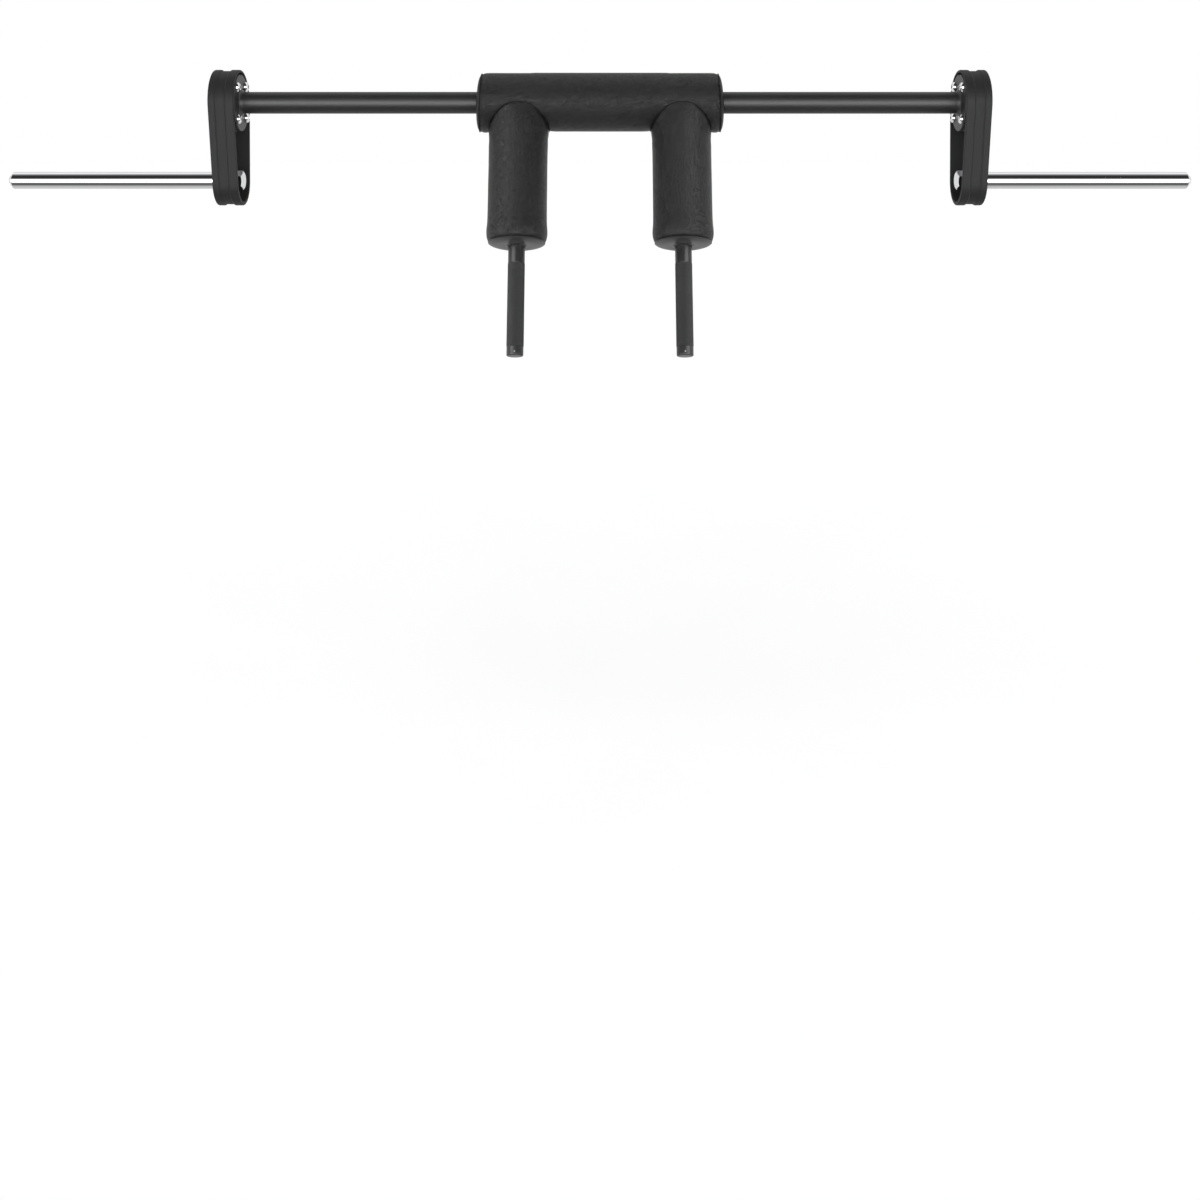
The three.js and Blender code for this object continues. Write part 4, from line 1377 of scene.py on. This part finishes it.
class SQUATBAR_OT_neck_pad(bpy.types.Operator):
    """Make the neck pad: its cover with the closing flap, its end panels and their piping"""

    bl_idname = "squat_bar.neck_pad"
    bl_label = "Neck pad"

    COVER_ROWS = 76
    SHOULDER_STEPS = 5
    END_SHARES = (0.75, 0.4, 0)
    SEWN = 1 * MM
    GATHERS = {"reach": 7 * MM, "waves": 9, "along": 20}
    PUFF_PLACE = 15 * MM
    PUFF_REACH = 8 * MM
    PINCH_REACH = 5 * MM
    END_ZONE = 50 * MM
    FLAP_START = math.radians(96)
    FLAP_END = math.radians(150)
    FLAP_CREASE = math.radians(50)
    FLAP_STATIONS = 60
    FLAP_COLUMNS = 14
    FLAP_CORNER = 14 * MM
    FLAP_EDGE = 0.7 * MM
    FLAP_TUCK = 1 * MM
    FLAP_HEM = 4 * MM
    PANEL_SHARES = [(0.0, 0.0), (0.05, 0.3), (0.16, 0.62), (0.4, 0.92), (0.68, 1.0), (0.86, 0.96)]
    PANEL_BACK = 0.5 * MM
    PANEL_TUCK = 2 * MM
    PIPING_PLACE = 0.2 * MM
    PIPING_POINTS = 10

    def execute(self, context):
        pads = settings().pads
        self.cover(pads)
        self.flap(pads)
        for side in SIDES:
            panel = self.panel(pads)
            panel.transform(side_turn(side))
            for vertex in panel.vertices:
                self.settle(vertex, pads)
            name, nodes = f"{side}_neck_panel", [f"{side}_neck_cap"]
            piece = put(name, panel, leatherette(), replaces=nodes, crease=0)
        return {"FINISHED"}

    @staticmethod
    def radius_at(place, pads):
        """The neck cover's radius at a place along the bar, drawn in at its ends like a quarter ellipse."""
        into = (abs(place) - (pads.neck_seam - pads.shoulder)) / pads.shoulder
        into = min(max(into, 0), 1)
        return pads.neck_radius - pads.seam_draw * (1 - math.sqrt(1 - into ** 2))

    def cover(self, pads):
        flat = pads.neck_seam - pads.shoulder
        turns = [math.pi / 2 * k / self.SHOULDER_STEPS for k in range(self.SHOULDER_STEPS + 1)]
        shoulder = [pads.neck_seam - pads.shoulder * (1 - math.sin(turn)) for turn in turns]
        middle = [flat * (2 * k / self.COVER_ROWS - 1) for k in range(1, self.COVER_ROWS)]
        places = [-place for place in reversed(shoulder)] + middle + shoulder
        small = pads.start_small
        rings = [circle(place, self.radius_at(place, pads) - small, COVER_POINTS) for place in places]
        bore = settings().shaft.radius + settings().link.seat
        end = pads.neck_seam - settings().link.seat
        drawn = pads.neck_radius - pads.seam_draw
        for way, shares in ((1, self.END_SHARES), (-1, self.END_SHARES[::-1])):
            rings += [circle(way * end, bore + (drawn - bore) * part, COVER_POINTS) for part in shares]
        mesh = Skin().add(rings, wrap=True).mesh("neck_pad")
        nodes = ["neck_cover", "neck_foam"]
        piece = put("neck_pad", mesh, leatherette(), replaces=nodes, crease=0)
        sewn = pads.neck_seam - self.SEWN
        inside = pads.neck_radius - 2 * pads.seam_draw
        held = {v.index for v in mesh.vertices if abs(v.co.x) > sewn or math.hypot(v.co.y, v.co.z) < inside}
        inflated(piece, held, pads)
        arms = {side: arm_place(side).inverted() for side in SIDES}
        for vertex in mesh.vertices:
            if vertex.index not in held:
                side = "left" if vertex.co.x < 0 else "right"
                folds = gathers(vertex.co, pads.neck_seam, depth=pads.pucker, **self.GATHERS)
                vertex.co += vertex.normal * (folds + self.round_saddle(side, arms[side] @ vertex.co, pads))
            self.settle(vertex, pads)
        soft_finish(piece)

    def round_saddle(self, side, point, pads):
        """How far the neck cover stands out beside the saddle seam: drawn in there and puffed up round it."""
        if point.x < 0:
            return 0.0
        turn = math.atan2(point.z, point.y)
        away = max(0.0, math.hypot(point.y, point.z) - saddle_radius(side, turn, pads))
        in_front = math.cos(turn) ** 2
        puffed = pads.puff * in_front * math.exp(-((away - self.PUFF_PLACE) / self.PUFF_REACH) ** 2)
        return puffed - pads.pinch * math.exp(-away / self.PINCH_REACH)

    def settle(self, vertex, pads):
        """Lets the pad's ends lean in at the top and out at the bottom, and hang lower than its middle."""
        point = vertex.co
        near = min(1.0, max(0.0, (abs(point.x) - pads.neck_seam) / self.END_ZONE + 1))
        lower = max(0.0, -point.z / pads.neck_radius)
        point.x -= math.copysign(1, point.x) * pads.seam_skew * near * point.z / pads.neck_radius
        point.z += pads.neck_lift - pads.belly * min(1.0, 2 * near) * lower ** 2

    def flap(self, pads):
        """The strip that closes the cover along its top, with stitches along both of its edges."""
        lift = Matrix.Translation((0, 0, pads.neck_lift))
        out = pads.neck_radius + pads.flap_rise
        inside, shoulder = pads.neck_radius - self.FLAP_TUCK, out - self.FLAP_EDGE
        straight = pads.flap_half - self.FLAP_CORNER
        edge = self.FLAP_EDGE / out
        rings = []
        for i in range(self.FLAP_STATIONS + 1):
            place = -math.cos(math.pi * i / self.FLAP_STATIONS) * pads.flap_half
            back = max(0.0, (abs(place) - straight) / self.FLAP_CORNER)
            narrow = self.FLAP_CORNER / out * (1 - math.sqrt(max(0.0, 1 - back ** 2)))
            first, last = self.FLAP_START + narrow, self.FLAP_END - narrow
            step = (last - first - 2 * edge) / self.FLAP_COLUMNS
            top = [(first + edge + step * k, out) for k in range(self.FLAP_COLUMNS + 1)]
            shell = [(first, inside), (first, shoulder), *top, (last, shoulder), (last, inside)]
            ring = [(place, -reach * math.cos(turn), reach * math.sin(turn)) for turn, reach in shell]
            rings.append([Vector(point) for point in ring])
        mesh = Skin().add(rings, capped=True).mesh("neck_flap")
        piece = put("neck_flap", mesh, leatherette(), where=lift, crease=self.FLAP_CREASE)
        skin = Skin()
        hem = self.FLAP_HEM / out
        for turn in (self.FLAP_START + hem, self.FLAP_END - hem):
            normal = Vector((0, -math.cos(turn), math.sin(turn)))
            line = [(Vector((end, 0, 0)) + normal * out, normal) for end in (-straight, straight)]
            stitches(skin, line, pads)
        mesh = skin.mesh("flap_stitches")
        put("flap_stitches", mesh, sewing_thread(), where=lift, crease=0)

    def panel(self, pads):
        """A bulging end panel with a rolled edge round the shaft and piping in its seam."""
        bore = settings().shaft.radius + settings().link.seat
        seam, outer = pads.neck_seam, pads.neck_radius - pads.seam_draw
        back = seam + self.PANEL_BACK
        shares = self.PANEL_SHARES
        outline = panel_outline(seam, outer, outer - bore, pads.panel_bulge, bore, pads.lip, shares)
        outline += [(back, bore), (back, outer - self.PANEL_TUCK)]
        skin = Skin().add(turned(outline, PANEL_POINTS), wrap=True)
        place, reach, small = seam + self.PIPING_PLACE, outer + pads.piping / 2, pads.piping
        turns = [TURN * k / self.PIPING_POINTS for k in range(self.PIPING_POINTS)]
        piping = [(place + small * math.cos(turn), reach + small * math.sin(turn)) for turn in turns]
        skin.add(turned(piping, PANEL_POINTS), wrap=True)
        return skin.mesh("neck_panel")


def saddle_radius(side, turn, pads):
    """The saddle seam's radius about the arm, at a turn about it: zero is the back, a half turn the front."""
    wide = pads.saddle_side * math.sin(turn) ** 2 + pads.saddle_spread * math.sin(2 * turn) ** 2
    inner = max(0.0, math.sin(turn) * (1 if side == "left" else -1))
    return pads.leg_radius - pads.leg_root + wide + pads.saddle_inner * inner ** 2


class SQUATBAR_OT_leg_pads(bpy.types.Operator):
    """Make the leg pads: their covers, saddle seams and end panels"""

    bl_idname = "squat_bar.leg_pads"
    bl_label = "Leg pads"

    ROOT_SHARES = (0.0, 0.3, 0.6, 0.85)
    NEAR_SHARES = (0.0, 0.006, 0.016, 0.032, 0.054, 0.082)
    END_SHARES = (0.7, 0.35, 0.0)
    FAR_STEPS = 38
    SWELL_STEPS = 12
    SEWN_RINGS = 3
    SEAT = 0.3 * MM
    TUCK_REACH = 2.2 * MM
    START_REACH = 12 * MM
    GATHERS = {"reach": 9 * MM, "waves": 8, "along": 12}
    STITCHED = math.radians(32)
    STITCH_PLACE = 0.5 * MM
    STITCH_DEPTH = 0.3 * MM
    SEAM_SHADE_PLACE = 0.2 * MM
    SEAM_SHADE_DEPTH = 0.4 * MM
    SEAM_SHADE_POINTS = 8
    PANEL_EDGE = 0.2 * MM
    PANEL_SHARES = [(0.0, 0.0), (0.04, 0.2), (0.12, 0.45), (0.35, 0.85), (0.65, 1.0), (0.86, 0.96)]

    def execute(self, context):
        pads = settings().pads
        for side in SIDES:
            self.cover(side, pads)
            piece = put(
                f"{side}_leg_panel", self.panel(pads), panel_vinyl(), replaces=[f"{side}_leg_cap"],
                where=arm_place(side), crease=0,
            )
        return {"FINISHED"}

    def swell_line(self, pads):
        """The cover's radius along the leg, as a smooth line of (place, radius)."""
        swell_shares = [
            (0.0, -pads.leg_root),
            (0.09, -pads.leg_root),
            (0.15, 0.2 * pads.leg_flare),
            (0.22, pads.leg_flare),
            (0.28, 0.5 * pads.leg_flare),
            (0.38, 0.0),
            (0.6, 0.0),
            (0.84, 0.1 * pads.leg_bead),
            (0.92, pads.leg_bead),
            (0.965, 0.5 * pads.leg_bead),
            (1.0, -pads.leg_draw),
        ]
        line = [(pads.leg_seam * place, pads.leg_radius + swell) for place, swell in swell_shares]
        return smooth_line(line, self.SWELL_STEPS)

    @staticmethod
    def radius_at(place, line):
        for (a, first), (b, second) in zip(line, line[1:]):
            if place <= b:
                return first + (second - first) * max(0.0, place - a) / (b - a)
        return line[-1][1]

    def cover(self, side, pads):
        line = self.swell_line(pads)
        bore = settings().handles.radius + settings().link.seat
        turns = [TURN * i / COVER_POINTS for i in range(COVER_POINTS)]

        def on_neck(radius, turn):
            return math.sqrt(max(0.0, pads.neck_radius ** 2 - (radius * math.cos(turn)) ** 2))

        seams = [on_neck(saddle_radius(side, turn, pads), turn) for turn in turns]
        rings = []
        for part in self.ROOT_SHARES:
            radius = bore + (pads.leg_radius - 3 * pads.leg_root - bore) * part
            rings.append([self.point(on_neck(radius, turn) + self.SEAT, radius, turn) for turn in turns])
        near, steps = self.NEAR_SHARES[-1], self.FAR_STEPS
        shares = [*self.NEAR_SHARES, *(near + (1 - near) * k / steps for k in range(1, steps + 1))]
        for part in shares:
            ring = []
            for turn, seam in zip(turns, seams):
                beyond = (pads.leg_seam - seam) * part
                place = seam + beyond
                turned_in = pads.tuck * math.exp(-beyond / self.TUCK_REACH)
                small = pads.start_small * min(1.0, beyond / self.START_REACH)
                wide = saddle_radius(side, turn, pads) - self.radius_at(seam, line)
                wide *= math.exp(-beyond / pads.saddle_ease)
                radius = self.radius_at(place, line) + wide - turned_in - small
                ring.append(self.point(place - 0.5 * turned_in, radius, turn))
            rings.append(ring)
        drawn = pads.leg_radius - pads.leg_draw
        for part in self.END_SHARES:
            rings.append(circle(pads.leg_seam - self.SEAT, bore + (drawn - bore) * part, COVER_POINTS))
        mesh = Skin().add(rings, wrap=True).mesh("leg_pad")
        first_free = len(self.ROOT_SHARES) + self.SEWN_RINGS
        first_end = len(self.ROOT_SHARES) + len(shares) - 1
        free = range(first_free * COVER_POINTS, first_end * COVER_POINTS)
        held = set(range(len(mesh.vertices))) - set(free)
        nodes = [f"{side}_leg_cover", f"{side}_leg_foam"]
        piece = put(f"{side}_leg_pad", mesh, leatherette(), replaces=nodes, crease=0)
        inflated(piece, held, pads)
        for vertex in mesh.vertices:
            if vertex.index not in held:
                folds = gathers(vertex.co, pads.leg_seam, depth=pads.pucker, **self.GATHERS)
                vertex.co += vertex.normal * folds
        mesh.transform(arm_place(side))
        soft_finish(piece)
        self.saddle_stitches(side, pads, seams)
        self.saddle_seam_shade(side, pads, seams)

    @staticmethod
    def point(place, radius, turn):
        return Vector((place, radius * math.cos(turn), radius * math.sin(turn)))

    def saddle_stitches(self, side, pads, seams):
        """Stitches on the front and the back of the seam where the leg cover is sewn to the neck cover."""
        skin = Skin()
        count = len(seams)
        for middle in (0, math.pi):
            path = []
            for k in range(-count // 2, count // 2 + 1):
                away = TURN * k / count
                if abs(away) > self.STITCHED:
                    continue
                turn = middle + away
                place = seams[round(turn / TURN * count) % count]
                radius = saddle_radius(side, turn, pads)
                point = self.point(place + self.STITCH_PLACE, radius - self.STITCH_DEPTH, turn)
                out = Vector((-place, radius * math.cos(turn), 0)).normalized() + self.point(0, 1, turn)
                path.append((point, out.normalized()))
            stitches(skin, path, pads)
        name = f"{side}_saddle_stitches"
        mesh = skin.mesh("saddle_stitches")
        put(name, mesh, sewing_thread(), where=arm_place(side), crease=0)

    def saddle_seam_shade(self, side, pads, seams):
        """A thin black strip in the saddle seam, all round the leg, that paints shade into the seam's crease.
        """
        small_turns = [TURN * k / self.SEAM_SHADE_POINTS for k in range(self.SEAM_SHADE_POINTS)]
        rings = []
        for i, seam in enumerate(seams):
            turn = TURN * i / len(seams)
            radius = saddle_radius(side, turn, pads) - self.SEAM_SHADE_DEPTH
            centre = self.point(seam + self.SEAM_SHADE_PLACE, radius, turn)
            out = self.point(0, 1, turn)
            spokes = [out * math.cos(small) + Vector((math.sin(small), 0, 0)) for small in small_turns]
            rings.append([centre + pads.seam_shade_radius * spoke for spoke in spokes])
        mesh = Skin().add(rings, wrap=True).mesh("saddle_seam_shade")
        put(f"{side}_saddle_seam_shade", mesh, seam_shade_strip(), where=arm_place(side), crease=0)

    def panel(self, pads):
        """The smooth end panel, slightly domed, with a rolled edge round the handle."""
        bore = settings().handles.radius + settings().link.seat
        back, outer = pads.leg_seam + self.PANEL_EDGE, pads.leg_radius - pads.leg_draw
        shares, edge = self.PANEL_SHARES, outer - self.PANEL_EDGE
        outline = panel_outline(back, edge, outer - bore, pads.leg_bulge, bore, pads.lip, shares)
        return Skin().add(turned(outline + [(back, bore)], PANEL_POINTS), wrap=True).mesh("leg_panel")


# Stage


class SQUATBAR_OT_camera(bpy.types.Operator):
    """Put the camera where the photograph was taken from"""

    bl_idname = "squat_bar.camera"
    bl_label = "Camera"

    SENSOR_WIDTH = 36.0
    FARTHEST = 100.0

    def execute(self, context):
        studio = settings().studio
        data = bpy.data.cameras.new("camera")
        data.lens = studio.lens
        data.sensor_width = self.SENSOR_WIDTH
        data.shift_y = studio.camera_shift
        data.clip_end = self.FARTHEST
        camera = bpy.data.objects.new("camera", data)
        camera.location = (0, -studio.camera_back, studio.camera_rise)
        camera.rotation_euler = Euler((math.pi / 2 - studio.camera_pitch, 0, 0))
        context.scene.collection.objects.link(camera)
        context.scene.camera = camera
        return {"FINISHED"}


class SQUATBAR_OT_stage(bpy.types.Operator):
    """Make the pale floor and the studio light"""

    bl_idname = "squat_bar.stage"
    bl_label = "Floor and light"

    # What the bar's surfaces reflect, by the angle in degrees from straight below (-90) over the front (0) and
    # the top (90) to the back (180): a pale floor, a long bright panel in front, a dark ceiling, and bright
    # panels behind
    REFLECTED = [
        (-180, 0.8), (-150, 0.75), (-119, 0.7), (-90, 0.42), (-60, 0.35), (-50, 0.08), (-44, 0.06),
        (-30, 0.35), (-18, 0.9), (-14, 6.0), (11, 6.0), (14, 2.4), (21, 0.9), (32, 0.05), (62, 0.03),
        (80, 0.12), (94, 0.3), (106, 0.8), (120, 1.1), (132, 1.1), (141, 0.7), (160, 0.5), (180, 0.8),
    ]
    # The same by the angle in degrees to either side of the camera
    SIDEWAYS = [
        (0, 0.85), (3.6, 0.9), (4.6, 1.3), (6, 1.0), (15, 1.15), (25, 0.95), (36, 0.8), (60, 1.3), (100, 1.6),
        (130, 1.1), (180, 1.0),
    ]
    BRIGHTEST = 6.0
    TOP_LIGHT_TURN = (math.radians(32), math.radians(-8), 0)
    # The soft lights on each side: what they shine on, their strength, and in degrees how far they are turned
    # to the side, how high they stand and how large they look
    LEG_PIECES = ("{}_leg_pad", "{}_leg_panel", "{}_saddle_stitches", "{}_handle", "{}_end_plug")
    SIDE_LIGHTS = [
        ("legs", LEG_PIECES, 1.8, 50, 35, 50),
        ("shaft", ("bar_shaft", "{}_flange", "{}_spacer"), 0.5, 30, 14, 40),
    ]
    WHITE = (1, 1, 1, 1)
    PAPER_TONES = ((0.9, 0.9, 0.9, 1), (0.93, 0.93, 0.93, 1))
    PAPER_GRAIN = (3, 2.0)
    FLOOR_GLOW = 0.16

    def execute(self, context):
        studio = settings().studio
        context.scene.view_settings.view_transform = "Standard"
        self.floor(studio)
        self.world(studio)
        self.lamps(studio)
        return {"FINISHED"}

    def lamps(self, studio):
        """A soft light from above, and soft lights from both sides that each shine on some pieces only."""
        top = self.soft_light("top_light", studio.top_light, Euler(self.TOP_LIGHT_TURN), studio.softness)
        top.visible_glossy = False
        for name, pieces, strength, *angles in self.SIDE_LIGHTS:
            aside, rise, spread = (math.radians(angle) for angle in angles)
            for side, way in (("left", -1), ("right", 1)):
                turn = Euler((math.pi / 2 - rise, 0, way * aside))
                lamp = self.soft_light(f"{side}_light_on_{name}", strength * studio.side_light, turn, spread)
                self.shine_on(lamp, [piece.format(side) for piece in pieces])

    @staticmethod
    def soft_light(name, strength, turn, spread):
        data = bpy.data.lights.new(name, "SUN")
        data.energy = strength
        data.angle = spread
        lamp = bpy.data.objects.new(name, data)
        lamp.rotation_euler = turn
        bpy.context.scene.collection.objects.link(lamp)
        return lamp

    @staticmethod
    def shine_on(lamp, names):
        """Lets a light shine on some pieces only."""
        lit = bpy.data.collections.new(f"{lamp.name}_pieces")
        for name in names:
            lit.objects.link(bpy.data.objects[name])
        lamp.light_linking.receiver_collection = lit

    def floor(self, studio):
        half = studio.floor_side / 2
        square = ((-half, -half), (half, -half), (half, half), (-half, half))
        mesh = bpy.data.meshes.new("floor")
        mesh.from_pydata([Vector((x, y, -studio.floor_drop)) for x, y in square], [], [(0, 1, 2, 3)])
        material, paint = new_paint("pale_floor")
        seen = paint.node("ShaderNodeLightPath", output="Is Camera Ray")
        paper = paint.noise(paint.place(), *self.PAPER_GRAIN)
        paint.surface({
            "Base Color": paint.mix(paper, *self.PAPER_TONES),
            "Roughness": 0.9,
            "Emission Color": self.WHITE,
            "Emission Strength": self.FLOOR_GLOW * seen,
        })
        mesh.materials.append(material)
        floor = bpy.data.objects.new("floor", mesh)
        floor.visible_glossy = False
        bpy.context.scene.collection.objects.link(floor)

    def world(self, studio):
        """White behind the bar, even light all round, and the studio's light and dark sides in reflections."""
        world = bpy.data.worlds.new("studio")
        world.use_nodes = True
        bpy.context.scene.world = world
        world.cycles.sampling_method = "NONE"
        paint = Paint(world.node_tree)

        def light(colour, strength):
            return paint.node("ShaderNodeBackground", None, {"Color": colour, "Strength": strength})

        def levels(share, first, stops):
            span = stops[-1][0] - first
            return paint.ramp(share, [((at - first) / span, value / self.BRIGHTEST) for at, value in stops])

        direction = paint.node("ShaderNodeTexCoord", output="Generated")
        x, y, z = (paint.node("ShaderNodeSeparateXYZ", None, (direction,), axis) for axis in range(3))
        round_bar = z.maths("ARCTAN2", z, -1 * y) * (1 / TURN) + 0.5
        to_side = x.maths("ABSOLUTE", x.maths("ARCTAN2", x, -1 * y)) * (1 / math.pi)
        reflected = levels(round_bar, -180, self.REFLECTED)
        sideways = levels(to_side, 0, self.SIDEWAYS)
        rays = paint.node("ShaderNodeLightPath", output="Is Camera Ray")
        glossy = paint.node("ShaderNodeLightPath", output="Is Glossy Ray")
        pattern = light(reflected * sideways, self.BRIGHTEST ** 2)
        lit = paint.node("ShaderNodeMixShader", None, (glossy, light(self.WHITE, studio.sky), pattern))
        shown = paint.node("ShaderNodeMixShader", None, (rays, lit, light(self.WHITE, 1.0)))
        paint.node("ShaderNodeOutputWorld", None, {"Surface": shown})


class SQUATBAR_PT_sidebar(bpy.types.Panel):
    """Lists the steps that dress the bar"""

    bl_idname = "SQUATBAR_PT_sidebar"
    bl_label = "Safety Squat Bar"
    bl_space_type = "VIEW_3D"
    bl_region_type = "UI"
    bl_category = "Squat Bar"

    def draw(self, context):
        for step in STEPS:
            self.layout.operator(step.bl_idname)


STEPS = (
    SQUATBAR_OT_camera,
    SQUATBAR_OT_shaft,
    SQUATBAR_OT_fasteners,
    SQUATBAR_OT_links,
    SQUATBAR_OT_sleeves,
    SQUATBAR_OT_handles,
    SQUATBAR_OT_neck_pad,
    SQUATBAR_OT_leg_pads,
    SQUATBAR_OT_stage,
)
CLASSES = (
    SquatBarShaft,
    SquatBarLink,
    SquatBarSleeve,
    SquatBarHandles,
    SquatBarPads,
    SquatBarColours,
    SquatBarStudio,
    SquatBarSettings,
    *STEPS,
    SQUATBAR_PT_sidebar,
)


def register():
    for item in CLASSES:
        bpy.utils.register_class(item)
    bpy.types.Scene.squat_bar = PointerProperty(type=SquatBarSettings)


def unregister():
    del bpy.types.Scene.squat_bar
    for item in reversed(CLASSES):
        bpy.utils.unregister_class(item)


def main():
    register()
    for step in STEPS:
        group, name = step.bl_idname.split(".")
        getattr(getattr(bpy.ops, group), name)()


if __name__ == "__main__":
    main()
